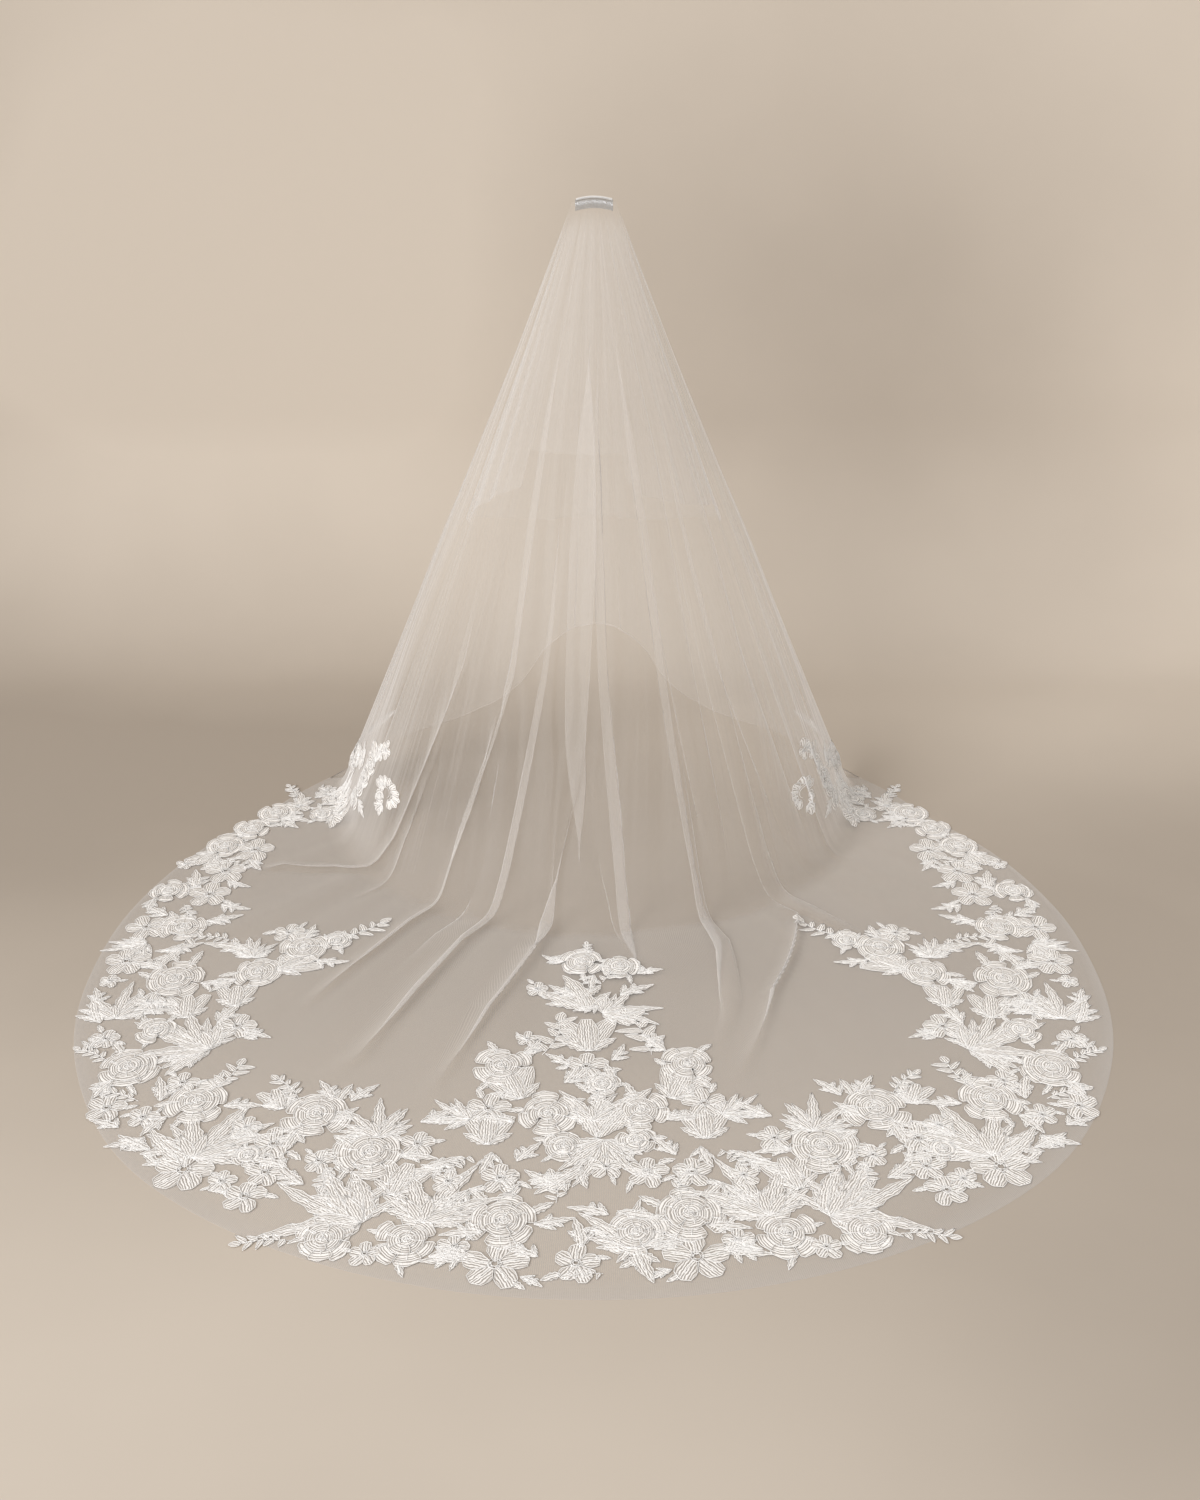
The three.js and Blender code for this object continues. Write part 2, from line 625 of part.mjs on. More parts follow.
function motifSolid({ form, x, y, size, turn }) {
  const place = new THREE.Matrix4().makeRotationZ(THREE.MathUtils.degToRad(turn)).setPosition(x, y, 0);
  const scaled = OUTLINES[form].map(([u, v]) => [u * size, v * size]);
  const base = solid(prism(scaled, LACE_WALL).applyMatrix4(place));
  if (form !== 'rose' || size < HEART_LEAST) return base;
  const heart = petalRing(3, 1).map(([u, v]) => [u * size * HEART_SHARE, v * size * HEART_SHARE]);
  return base.add(solid(prism(heart, LACE_WALL + CORD_RISE).applyMatrix4(place)));
}

// A stem between two motifs

function stemSolid(from, to) {
  const length = Math.hypot(to.x - from.x, to.y - from.y);
  const half = STEM_WIDTH / 2;
  const end = length + half;
  const points = [[-half, -half], [half, -half], [half, end], [-half, end]];
  const turn = Math.atan2(-(to.x - from.x), to.y - from.y);
  const place = new THREE.Matrix4().makeRotationZ(turn).setPosition(from.x, from.y, 0);
  return solid(prism(points, LACE_WALL).applyMatrix4(place));
}

// One applique: its motifs, and a stem from each that stands alone to the nearest before it

function appliqueGeometry(motifs) {
  let body = motifSolid(motifs[0]);
  for (let i = 1; i < motifs.length; i++) {
    const far = (other) => Math.hypot(other.x - motifs[i].x, other.y - motifs[i].y);
    const nearest = motifs.slice(0, i).reduce((best, other) => (far(other) < far(best) ? other : best));
    const motif = motifSolid(motifs[i]);
    const joined = body.intersect(motif).volume() > LEAST_JOIN;
    body = body.add(motif);
    if (!joined) body = body.add(stemSolid(motifs[i], nearest));
  }
  return geometryOf(body);
}

function mirrorMotif(motif, shift) {
  return { ...motif, x: -motif.x + shift.x, y: motif.y + shift.y, turn: -motif.turn };
}

// The comb: a rail and its teeth in one soldered piece

function combGeometry() {
  const box = (x, z0, z1, width, depth) => {
    const geometry = new THREE.BoxGeometry(width, depth, z1 - z0);
    return solid(geometry.translate(x, 0, (z0 + z1) / 2));
  };
  let body = box(0, -RAIL_HEIGHT, 0, COMB_WIDTH, RAIL_DEPTH);
  const pitch = (COMB_WIDTH - TOOTH_WIDTH) / (TEETH - 1);
  for (let k = 0; k < TEETH; k++) {
    const x = k * pitch - (COMB_WIDTH - TOOTH_WIDTH) / 2;
    body = body.add(box(x, -RAIL_HEIGHT - TOOTH_LENGTH, -RAIL_HEIGHT + 1, TOOTH_WIDTH, TOOTH_WIDTH));
  }
  return geometryOf(body);
}

function named(name, geometry, material) {
  const mesh = new THREE.Mesh(geometry, material.clone());
  mesh.name = name;
  return mesh;
}

// Assembly

const veil = new THREE.Group();
veil.add(named('comb', combGeometry(), WIRE));
veil.add(named('blusher_tier', makeBlusherTier(), TULLE));
veil.add(named('veil_tier', makeVeilTier(), TULLE));

const laceHeight = -DROP + TULLE_WALL + CLEAR;

for (const [name, motifs] of Object.entries(LACE)) {
  const left = named(`lace_${name}_left`, appliqueGeometry(motifs), LACE_THREAD);
  const shifted = motifs.map((motif) => mirrorMotif(motif, DRIFT[name]));
  const right = named(`lace_${name}_right`, appliqueGeometry(shifted), LACE_THREAD);
  left.position.z = laceHeight;
  right.position.z = laceHeight;
  veil.add(left, right);
}

for (const [name, motifs] of Object.entries(LACE_MIDDLE)) {
  const lace = named(`lace_${name}`, appliqueGeometry(motifs), LACE_THREAD);
  lace.position.z = laceHeight;
  veil.add(lace);
}

// Hung lace touches the cloth along the column under its middle

function hungLace(name, { angle, row, motifs }, side) {
  const around = motifs.map((motif) => (side < 0 ? motif : mirrorMotif(motif, { x: 0, y: 0 })));
  const lace = named(name, appliqueGeometry(around), LACE_THREAD);
  const anchor = tierPoint(side * angle, row);
  const up = tierPoint(side * angle, 0.5).sub(anchor).normalize();
  const out = outward(tierPoint, side * angle, row, 2);
  const across = up.clone().cross(out);
  lace.applyMatrix4(new THREE.Matrix4().makeBasis(across, up, out));
  lace.position.copy(anchor.addScaledVector(out, TULLE_WALL + CLEAR));
  return lace;
}

for (const [name, hung] of Object.entries(LACE_HUNG)) {
  veil.add(hungLace(`lace_${name}_left`, hung, -1));
  veil.add(hungLace(`lace_${name}_right`, hung, 1));
}

export default veil;
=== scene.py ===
# %% [markdown]
# # A bridal veil on its comb
#
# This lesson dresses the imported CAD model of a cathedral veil: two tiers of sheer tulle
# gathered on a wire comb, with corded floral lace along the border of the train.
# The CAD gives the sizes. Everything here is in metres, in the same frame: the origin is
# the top of the comb, +Y points away from the train, and the floor lies 1.63 m below.

import math

import bpy
import numpy as np
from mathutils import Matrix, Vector
from mathutils.bvhtree import BVHTree


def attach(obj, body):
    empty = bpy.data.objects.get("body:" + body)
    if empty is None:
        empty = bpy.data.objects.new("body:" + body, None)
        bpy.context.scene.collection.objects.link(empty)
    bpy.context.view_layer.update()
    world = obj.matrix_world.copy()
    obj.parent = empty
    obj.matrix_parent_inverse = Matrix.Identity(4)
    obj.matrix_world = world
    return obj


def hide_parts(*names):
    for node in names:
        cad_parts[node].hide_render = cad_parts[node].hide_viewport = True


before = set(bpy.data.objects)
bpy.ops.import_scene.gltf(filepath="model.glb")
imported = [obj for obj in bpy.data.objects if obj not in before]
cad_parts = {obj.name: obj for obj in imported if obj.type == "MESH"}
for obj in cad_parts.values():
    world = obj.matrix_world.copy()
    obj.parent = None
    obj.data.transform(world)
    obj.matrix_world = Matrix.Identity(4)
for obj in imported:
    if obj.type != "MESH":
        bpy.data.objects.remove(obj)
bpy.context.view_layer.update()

# %% [markdown]
# Colours are written as sRGB hex, the way a paint chart gives them, and Blender's shaders
# want linear values. One function does that, and one small function adds any node with
# its settings and links, so that every material and tree below reads as a short list.
# A node given as an input means its first output. The next four shorten common nodes.

# %% Helpers for colours, nodes and meshes


scene = bpy.context.scene
link = scene.collection.objects.link


def linear(hex_colour):
    channels = [int(hex_colour[i:i + 2], 16) / 255 for i in (0, 2, 4)]
    return [c / 12.92 if c <= 0.04045 else ((c + 0.055) / 1.055) ** 2.4
            for c in channels] + [1.0]


def add_node(tree, kind, inputs=None, **settings):
    node = tree.nodes.new(kind)
    for name, value in settings.items():
        setattr(node, name, value)
    for name, value in (inputs or {}).items():
        if isinstance(value, bpy.types.Node):
            value = value.outputs[0]
        if isinstance(value, bpy.types.NodeSocket):
            tree.links.new(value, node.inputs[name])
        else:
            node.inputs[name].default_value = value
    return node


def calc(tree, operation, *values, **settings):
    return add_node(tree, "ShaderNodeMath", dict(enumerate(values)), operation=operation,
                    **settings).outputs[0]


def remap(tree, value, low, high, new_low, new_high, **settings):
    limits = dict(enumerate((value, low, high, new_low, new_high)))
    return add_node(tree, "ShaderNodeMapRange", limits, **settings).outputs[0]


def noise(tree, vector, scale, detail, roughness=0.5, **settings):
    inputs = {"Vector": vector, "Scale": scale, "Detail": detail, "Roughness": roughness}
    return add_node(tree, "ShaderNodeTexNoise", inputs, **settings).outputs["Fac"]


def attribute(tree, name, output="Fac"):
    return add_node(tree, "ShaderNodeAttribute", attribute_name=name).outputs[output]


def together(*parts):
    """Numbers side by side along a last axis, such as x, y and z."""
    return np.stack(np.broadcast_arrays(*parts), axis=-1)


def quads(index, after):
    """Faces between the rows of two grids of point numbers."""
    return together(index[:-1], after[:-1], after[1:], index[1:]).reshape(-1, 4)


def new_material(name):
    material = bpy.data.materials.new(name)
    material.use_nodes = True
    material.node_tree.nodes.clear()
    return material, material.node_tree


def new_piece(name, vertices, faces, materials, face_slots=None):
    mesh = bpy.data.meshes.new(name)
    mesh.from_pydata([tuple(v) for v in vertices], [], faces)
    for material in materials:
        mesh.materials.append(material)
    if face_slots is not None:
        mesh.polygons.foreach_set("material_index", face_slots)
    mesh.polygons.foreach_set("use_smooth", [True] * len(mesh.polygons))
    mesh.update()
    piece = bpy.data.objects.new(name, mesh)
    link(piece)
    return piece


# %% [markdown]
# ## Camera, floor and light
#
# The photograph looks down at 22.5 degrees from 5.1 m in front of the comb. A 50 mm lens
# on a frame 36 mm high gives its perspective. The room is a plain cove: a pale floor
# that curves up into a wall, painted on the room's side only so that the veil can also
# be looked at from behind. Its tone also carries painted light and shade: a darker band
# where the floor runs into the wall, a darker cove corner, and soft lighter and darker
# patches. Soft daylight falls from the left, so a wide sun does most of
# the work, two weak pools lift the front and the right side, and a dim world fills the rest.

# %% Camera
FLOOR = -1.63
CAMERA_PLACE = (0.014, -5.1, 0.69)
LOOKS_DOWN = 22.5

camera_data = bpy.data.cameras.new("camera")
camera_data.sensor_fit = "VERTICAL"
camera_data.sensor_height = 36
camera_data.lens = 50
camera = bpy.data.objects.new("camera", camera_data)
camera.location = CAMERA_PLACE
camera.rotation_euler = (math.radians(90 - LOOKS_DOWN), 0, 0)
link(camera)
scene.camera = camera
print("camera at", tuple(camera.location))

# %% Floor and wall in one cove
COVE_WIDTH = 9.0
COVE_FRONT = -5.6
COVE_START = 1.0
COVE_RADIUS = 0.7
WALL_TOP = 3.4
COVE_STEPS = 16
# centre and spread in metres, and how much of the darker tone a soft patch adds: a positive amount
# is painted shade, a negative one a painted pool of light
PAINTED_LIGHT_PATCHES = [((0.8, 1.7, -0.7), 1.6, 0.78), ((-1.4, 1.7, -0.55), 1.9, -0.7),
           ((0.95, 0.65, FLOOR), 1.6, -0.5), ((1.4, -2.5, FLOOR), 1.5, 0.72)]


plaster, tree = new_material("Wall and floor paint with painted shade")
coords = add_node(tree, "ShaderNodeTexCoord").outputs["Object"]
apart = add_node(tree, "ShaderNodeSeparateXYZ", {0: coords}).outputs
ease = {"interpolation_type": "SMOOTHSTEP"}
# painted shade: a darker band across the floor where it runs into the wall, set by nearness and
# farness
slanted = calc(tree, "MULTIPLY_ADD", apart["X"], 0.3, apart["Y"])
nearness = remap(tree, slanted, -2.6, -0.4, 0, 1, **ease)
farness = remap(tree, slanted, 0.2, 2.1, 1, 0, **ease)
# a random mottle of the paint, to which the patches below add painted light and shade
mottle_and_painted_light = calc(tree, "MULTIPLY_ADD", noise(tree, coords, 1.1, 3), 0.5, -0.22)
for centre, spread, amount in PAINTED_LIGHT_PATCHES:
    away = add_node(tree, "ShaderNodeVectorMath", {0: coords, 1: centre}, operation="DISTANCE")
    patch = remap(tree, away.outputs["Value"], 0, spread, amount, 0, **ease)
    mottle_and_painted_light = calc(tree, "ADD", mottle_and_painted_light, patch)
# painted shade in the lower curve of the cove, where the floor meets the wall
cove_corner_shade = remap(tree, apart["Y"], 1.0, 1.6, 0, 0.3)
corner_shade_fades_up = remap(tree, apart["Z"], -1.5, -0.8, 1, 0)
mottle_and_painted_light = calc(tree, "MULTIPLY_ADD", cove_corner_shade, corner_shade_fades_up, mottle_and_painted_light)
band = calc(tree, "MULTIPLY", nearness, farness)
# how far the paint goes to its darker tone: the painted shade band plus mottle and painted patches
tone = calc(tree, "ADD", band, mottle_and_painted_light, use_clamp=True)
# cac0b4 is the pale paint, a99f94 the darker tone that stands in for shade
shade = add_node(tree, "ShaderNodeMix", {0: tone, 6: linear("cac0b4"), 7: linear("a99f94")},
                 data_type="RGBA").outputs[2]
paint = add_node(tree, "ShaderNodeBsdfPrincipled", {"Base Color": shade, "Roughness": 0.9,
                                                    "Specular IOR Level": 0.1})
behind = add_node(tree, "ShaderNodeNewGeometry").outputs["Backfacing"]
clear = add_node(tree, "ShaderNodeBsdfTransparent")
one_sided = add_node(tree, "ShaderNodeMixShader", {0: behind, 1: paint, 2: clear})
add_node(tree, "ShaderNodeOutputMaterial", {"Surface": one_sided})

arc = [step / COVE_STEPS * math.pi / 2 for step in range(COVE_STEPS + 1)]
profile = ([(COVE_FRONT, FLOOR)]
           + [(COVE_START + COVE_RADIUS * math.sin(turn),
               FLOOR + COVE_RADIUS * (1 - math.cos(turn))) for turn in arc]
           + [(COVE_START + COVE_RADIUS, WALL_TOP)])
cove_points = [(side * COVE_WIDTH / 2, y, z) for y, z in profile for side in (-1, 1)]
cove_faces = [(2 * i, 2 * i + 1, 2 * i + 3, 2 * i + 2) for i in range(len(profile) - 1)]
cove = new_piece("studio_cove", cove_points, cove_faces, [plaster])
print("cove faces", len(cove_faces))

# %% Light
def aim(lamp, place, target):
    lamp.location = place
    lamp.rotation_euler = (Vector(target) - Vector(place)).to_track_quat("-Z", "Y").to_euler()
    link(lamp)


window = bpy.data.lights.new("daylight", "SUN")
window.energy = 1.9
window.angle = math.radians(28)
window.color = linear("fffdfb")[:3]
aim(bpy.data.objects.new("daylight", window), (-2.4, -3.2, 1.4), (0, 0, -0.6))

for name, watts, place, target in (("front_pool", 25, (-2.4, -3.9, 0.6), (-0.9, -2.6, FLOOR)),
                                   ("right_fill", 6, (2.3, -2.0, 0.0), (0.7, 0.1, -1.25))):
    pool = bpy.data.lights.new(name, "AREA")
    pool.shape = "DISK"
    pool.size = 1.6
    pool.energy = watts
    aim(bpy.data.objects.new(name, pool), place, target)

world = bpy.data.worlds.new("soft_room")
world.use_nodes = True
glow = world.node_tree.nodes["Background"].inputs
glow["Color"].default_value = linear("f7f3ee")
glow["Strength"].default_value = 0.72
scene.world = world
scene.view_settings.view_transform = "Standard"
scene.cycles.transparent_max_bounces = 32
print("lights ready")

# %% [markdown]
# ## The drape of the long tier
#
# Tulle gathered on a comb hangs in straight strands. Each strand leaves the comb at an
# angle from the front, falls to the floor, bends and lies out to the round edge of the
# train. So the drape is a rule that finds a point from its angle and its row, where rows 0
# to 1 hang and rows 1 to 2 lie. The tables hold the CAD's sizes.

# %% Tables of the drape, in metres and degrees
COMB_WIDTH = 0.09
RAIL_HEIGHT = 0.005
TULLE_TOP = -0.002
CORNER = 113
TRAIN_MIDDLE = -0.85
TRAIN_END = 147
TRAIN_TURN = TRAIN_END / CORNER
BACK_LINE = 0.3
BEND = 0.055
TULLE_WIDTH = 2.74
OUTER_RING = 0.0045
INNER_RING = 0.0024

REACH = [(0, 0.63), (40, 0.635), (80, 0.66), (100, 0.70), (CORNER, 0.768)]
TRAIN = [(0, 1.205), (45, 1.208), (70, 1.176), (90, 1.162), (107, 1.183),
         (124, 1.226), (133, 1.25), (141, 1.315), (147, 1.369)]
ARCH = [(CORNER, 1.0), (115, 0.945), (118, 0.912), (124, 0.885), (132, 0.855),
        (141, 0.81), (151, 0.745), (165, 0.71), (180, 0.70)]
BLUSHER_HEM = [(-180, 0.5), (-135, 0.51), (-100, 0.5), (-88, 0.465), (-62, 0.425), (-46, 0.405),
               (-45, 0.352), (18.5, 0.35), (19.6, 0.392), (25, 0.393), (26.1, 0.41), (32, 0.415),
               (60, 0.44), (90, 0.46), (102, 0.5), (135, 0.51), (180, 0.5)]


def curve_through(table, x):
    """A smooth curve through a table's rows that never overshoots them."""
    xs, ys = np.array(table, dtype=float).T
    width = np.diff(xs)
    slope = np.diff(ys) / width
    product = slope[:-1] * slope[1:]
    both = np.where(product > 0, slope[:-1] + slope[1:], 1)
    tangent = np.concatenate([slope[:1], np.where(product > 0, 2 * product / both, 0), slope[-1:]])
    i = np.clip(np.searchsorted(xs, x, side="right") - 1, 0, len(width) - 1)
    t = np.clip((x - xs[i]) / width[i], 0, 1)
    ease = t * t * (3 - 2 * t)
    return (ys[i] * (1 - ease) + ys[i + 1] * ease
            + width[i] * t * (1 - t) * (tangent[i] * (1 - t) - tangent[i + 1] * t))


# %% Where a strand starts, meets the floor and ends
def gather_point(angle, ring):
    """A flat loop round the comb's rail."""
    half = COMB_WIDTH / 2 + 0.0004
    arc = math.pi * ring
    along = np.abs(angle) / 180 * (2 * half + arc)
    side = np.where(angle < 0, -1.0, 1.0)
    turn = np.clip((along - half) / ring, 0, math.pi)
    x = np.where(along <= half, along, np.where(along >= half + arc, 2 * half + arc - along,
                                                half + ring * np.sin(turn)))
    return together(side * x, -ring * np.cos(turn), TULLE_TOP)


def foot_point(angle, share=1.0):
    turn = np.radians(angle)
    reach = np.where(np.abs(angle) <= CORNER, curve_through(REACH, np.abs(angle)),
                     BACK_LINE / np.maximum(0.2, np.abs(np.cos(turn)))) * share
    return together(reach * np.sin(turn), -reach * np.cos(turn), FLOOR)


def train_point(angle):
    around = np.abs(angle) * TRAIN_TURN
    radius = curve_through(TRAIN, around)
    turn = np.radians(around) * np.where(angle < 0, -1.0, 1.0)
    return together(radius * np.sin(turn), TRAIN_MIDDLE - radius * np.cos(turn), FLOOR)


# %% A point of the long tier from its angle and row
def length_of(vectors):
    return np.linalg.norm(vectors, axis=-1, keepdims=True)


def tier_point(angle, row):
    angle, row = np.broadcast_arrays(np.asarray(angle, float), np.asarray(row, float))
    top, foot = gather_point(angle, OUTER_RING), foot_point(angle)
    share = curve_through(ARCH, np.abs(angle))
    strip = np.interp(np.abs(angle), [CORNER, 180], [0.02, 0.15])
    far_down = np.where(row <= 1, row * (1 - strip), 1 - strip * (2 - row)) * share
    far = top + (foot - top) * far_down[..., None]
    edge = train_point(np.clip(angle, -CORNER, CORNER))
    hang, lie = length_of(foot - top), length_of(edge - foot)
    r = row[..., None]
    down = np.where(r <= 1, r * hang, hang + (r - 1) * lie)
    bend = np.minimum(BEND, lie / 4)
    into, out = foot + (top - foot) * bend / hang, foot + (edge - foot) * bend / lie
    t = np.clip((down - hang + bend) / (2 * bend), 0, 1)
    turn = (1 - t) ** 2 * into + 2 * t * (1 - t) * foot + t * t * out
    near = np.where(down < hang - bend, top + (foot - top) * down / hang,
                    np.where(down > hang + bend, foot + (edge - foot) * (down - hang) / lie, turn))
    return np.where((np.abs(angle) > CORNER)[..., None], far, near)


print("front strand meets the floor at", tier_point(0, 1).round(3))

# %% [markdown]
# ## Folds
#
# A fold in sheer cloth shows where light passes through more than one layer. So a fold
# here does three things: it lifts the cloth along a smooth ridge, it leans the crest
# sideways over its own foot, and it lays the cloth back over itself, in a flat band three
# layers thick. Each runs from one row to another, its crest at the stations' angles.

# %% The table of folds
STATIONS = [0, 0.65, 0.93, 1.1, 1.3, 1.52, 2]
# crest at the stations | from row, to row, then width, height and overlap in mm, and lean
FOLDS = [[[float(number) for number in half.split()] for half in line.split("|")] for line in """\
-98 -98 -98 -98 -98 -99 -102 | 0.3 0.98 70 14 26 0.6
-91 -91 -91 -91 -91 -91 -91 | 0.35 0.9 40 6 14 0.5
-83 -83 -83 -84 -84 -84 -84 | 0.4 1.0 60 12 22 -0.6
-55 -47 -56 -69 -78 -82 -69 | 0.5 1.46 50 20 12 0.9
-41 -44 -52 -55 -57 -58 -60 | 0.4 1.15 26 9 6 0.7
-33 -27.5 -36 -39 -39.5 -39.5 -53 | 0.1 1.5 56 18 16 0.8
-31 -31 -33 -37 -38 -38 -38 | 0.6 1.06 24 8 6 -0.8
-22 -23 -25 -30 -32 -33 -36 | 0.02 1.3 34 6 12 -0.5
-17 -18 -22.5 -26.5 -27.5 -27.5 -38 | 0.35 1.62 70 22 24 0.8
-10 -10.5 -11 -12 -15.5 -17 -24 | 0.1 1.6 56 18 20 0.8
-3 -5 -3.5 -5 -7 -8 -12 | 0.1 1.02 120 12 110 0.2
-7 -8.7 -9 -14 -17 -17 -17 | 0.75 1.45 30 10 10 0.7
4 3.5 5 8 8.5 5.5 0 | 0.6 1.22 30 10 10 -0.7
11 12.5 15 16 14.5 9 12 | 0.1 1.3 100 14 80 -0.3
20 21 22 24 20 12 24 | 0.65 1.45 40 14 14 -0.8
27 29 31 34 36 38 40 | 0.02 1.05 40 8 16 -0.5
32 35 40 43 26 15.5 37 | 0.96 1.56 60 20 24 0.7
40 41 43 47 50 52 54 | 0.3 1.35 34 9 10 -0.6
53 50 57 66 73 75 63 | 0.2 1.06 56 14 24 -0.6
66 66 68 72 74 76 77 | 0.4 1.1 40 8 14 0.5
78 78 78 80 81 82 82 | 0.3 1.02 60 12 26 0.5
88 88 88 88 88 88 88 | 0.35 0.95 50 8 20 0.4
98 98 98 98 98 99 102 | 0.3 0.98 70 14 26 -0.6
-128 -129 -130 -130 -130 -130 -130 | 0.1 2.2 56 12 20 0.6
-146 -147 -148 -148 -148 -148 -148 | 0.1 2.2 46 10 16 -0.6
-166 -166 -167 -167 -167 -167 -167 | 0.1 2.2 60 10 24 0.5
172 172 171 171 171 171 171 | 0.1 2.2 50 10 20 -0.5
150 151 152 152 152 152 152 | 0.1 2.2 56 12 20 -0.6
133 133 132 132 132 132 132 | 0.1 2.2 50 10 16 0.6
""".splitlines()]


def smooth_step(x, start, end):
    t = np.clip((x - start) / (end - start), 0, 1)
    return t * t * (3 - 2 * t)


# %% Lift and slide of the cloth, in metres
def fold_shift(angle, row, radius):
    lift, slide = np.zeros_like(angle), np.zeros_like(angle)
    for crest, (start, end, width, height, overlap, lean) in FOLDS:
        middle = np.interp(row, STATIONS, crest)
        reach = (width + 1.6 * overlap) / 2000
        half = np.minimum(np.degrees(reach / np.maximum(radius, 0.04)), 8.0)
        across = np.clip((angle - middle) / half, -1, 1)
        swell = smooth_step(row, start, start + 0.25) * (1 - smooth_step(row, end - 0.3, end))
        narrow = np.minimum(1, radius / 0.3)
        ridge = np.cos(across * math.pi / 2) ** 2
        lift += height / 1000 * swell * narrow * ridge
        slide += height / 1000 * swell * narrow * ridge * lean
        back = (half / 180 * radius + overlap / 2600 * narrow) * swell
        slide -= back * np.sin(math.pi * across) * np.sign(lean)
    return lift, slide


def small_waves(angle, row):
    """Shallow waves between the folds, and fine gathers under the comb."""
    turn = np.radians(angle)
    front = np.cos(np.clip(turn * 0.8, -math.pi / 2, math.pi / 2)) ** 2 + 0.15
    hanging = smooth_step(row, 0.1, 0.8) * (1 - smooth_step(row, 1.05, 1.55))
    waves = np.sin(17 * turn + 0.6) + 0.7 * np.sin(29 * turn + 2.1) + 0.4 * np.sin(43 * turn + 4.0)
    gathers = smooth_step(row, 0.0, 0.05) * (1 - smooth_step(row, 0.2, 0.9))
    pleats = np.sin(60 * turn + 1.3 * np.sin(5 * turn)) + 0.6 * np.sin(37 * turn + 1.0)
    return front * (0.0016 * hanging * (waves + 2.1) + 0.0009 * gathers * (pleats + 1.6))


# %% [markdown]
# The grid of points is denser in front, where the folds are seen, than behind. Outward is
# the cross product of two small steps on the plain drape. The cloth's density is kept in an
# attribute: gathered at the comb, more threads cover each square millimetre.

# %% Turn the rule into a closed ring of cloth
SMALL_STEP = 0.01


def outward(point_at, angle, row, last):
    across = point_at(angle + 1, row) - point_at(angle - 1, row)
    down = (point_at(angle, np.minimum(last, row + SMALL_STEP))
            - point_at(angle, np.maximum(0, row - SMALL_STEP)))
    out = np.cross(down, across)
    return out / length_of(out), across / length_of(across)


def cloth_ring(name, points, density, seam, strands, material):
    rows, columns = points.shape[:2]
    index = np.arange(rows * columns).reshape(rows, columns)
    after = np.roll(index, -1, axis=1)
    faces = quads(index, after)[:, ::-1].tolist()
    piece = new_piece(name, points.reshape(-1, 3), faces, [material])
    mesh = piece.data
    for label, values in (("gathered", density), ("seam", seam), ("strands", strands)):
        mesh.attributes.new(label, "FLOAT", "POINT").data.foreach_set(
            "value", values.astype(np.float32).ravel())
    around = np.arange(1, columns + 1) / columns * TULLE_WIDTH * 2
    steps = np.diff(points[:, columns // 4], axis=0)
    down = np.concatenate([[0], np.cumsum(np.linalg.norm(steps, axis=-1))])
    flat = together(around[None, :], down[:, None])
    layer = mesh.attributes.new("cut", "FLOAT2", "POINT")
    layer.data.foreach_set("vector", flat.astype(np.float32).ravel())
    return piece


# %% [markdown]
# ## Nylon tulle
#
# Bobbin tulle is a net of fine nylon threads with far more air than thread, so it is
# nearly clear square on and whiter where it turns edge on, which Layer Weight gives. Light
# also passes through the threads, so the shader mixes a soft reflecting part with a
# translucent one. The real hexagons are about 1 mm across, too fine to show at this
# distance, so the net is drawn with cells of 3 mm.

# %% Tulle material
def make_tulle(name, square_on, edge_on):
    material, tree = new_material(name)
    threads = linear("edebea")
    cut = attribute(tree, "cut", "Vector")

    def lengthwise(across, along, detail, roughness):
        """Noise drawn out along the strands."""
        drawn = add_node(tree, "ShaderNodeVectorMath", {0: cut, 1: (across, along, 0.0)},
                         operation="MULTIPLY")
        return noise(tree, drawn, 1, detail, roughness, noise_dimensions="2D")

    facing = add_node(tree, "ShaderNodeLayerWeight", {"Blend": 0.5}).outputs["Facing"]
    grazing = calc(tree, "MULTIPLY_ADD", calc(tree, "POWER", facing, 2.6), edge_on, square_on)
    stripe = remap(tree, lengthwise(38.0, 0.3, 4, 0.62), 0.34, 0.68, -0.32, 0.5)
    streaks = calc(tree, "MULTIPLY_ADD", stripe, attribute(tree, "strands"), 1)
    tuck = remap(tree, lengthwise(5.5, 0.25, 1, 0.5), 0.34, 0.66, -0.4, 0.45)
    drop = add_node(tree, "ShaderNodeSeparateXYZ", {0: cut}).outputs["Y"]
    near_comb = remap(tree, drop, 0.1, 1.4, 1, 0.1)
    streaks = calc(tree, "MULTIPLY_ADD", tuck, near_comb, streaks)
    density = calc(tree, "MULTIPLY", attribute(tree, "gathered"), streaks)
    net = add_node(tree, "ShaderNodeTexVoronoi",
                   {"Vector": cut, "Scale": 330.0, "Randomness": 0.25},
                   feature="DISTANCE_TO_EDGE", voronoi_dimensions="2D").outputs["Distance"]
    netted = calc(tree, "MULTIPLY", calc(tree, "MULTIPLY", grazing, density),
                  remap(tree, net, 0, 0.35, 1.25, 0.8))
    cover = calc(tree, "ADD", netted, attribute(tree, "seam"), use_clamp=True)
    soft = add_node(tree, "ShaderNodeBsdfPrincipled", {
        "Base Color": threads, "Roughness": 0.8, "Specular IOR Level": 0.3,
        "Sheen Weight": 0.25, "Sheen Roughness": 0.4})
    through = add_node(tree, "ShaderNodeBsdfTranslucent", {"Color": threads})
    thread = add_node(tree, "ShaderNodeMixShader", {0: 0.42, 1: soft, 2: through})
    clear = add_node(tree, "ShaderNodeBsdfTransparent")
    sheer = add_node(tree, "ShaderNodeMixShader", {0: cover, 1: clear, 2: thread})
    add_node(tree, "ShaderNodeOutputMaterial", {"Surface": sheer})
    return material


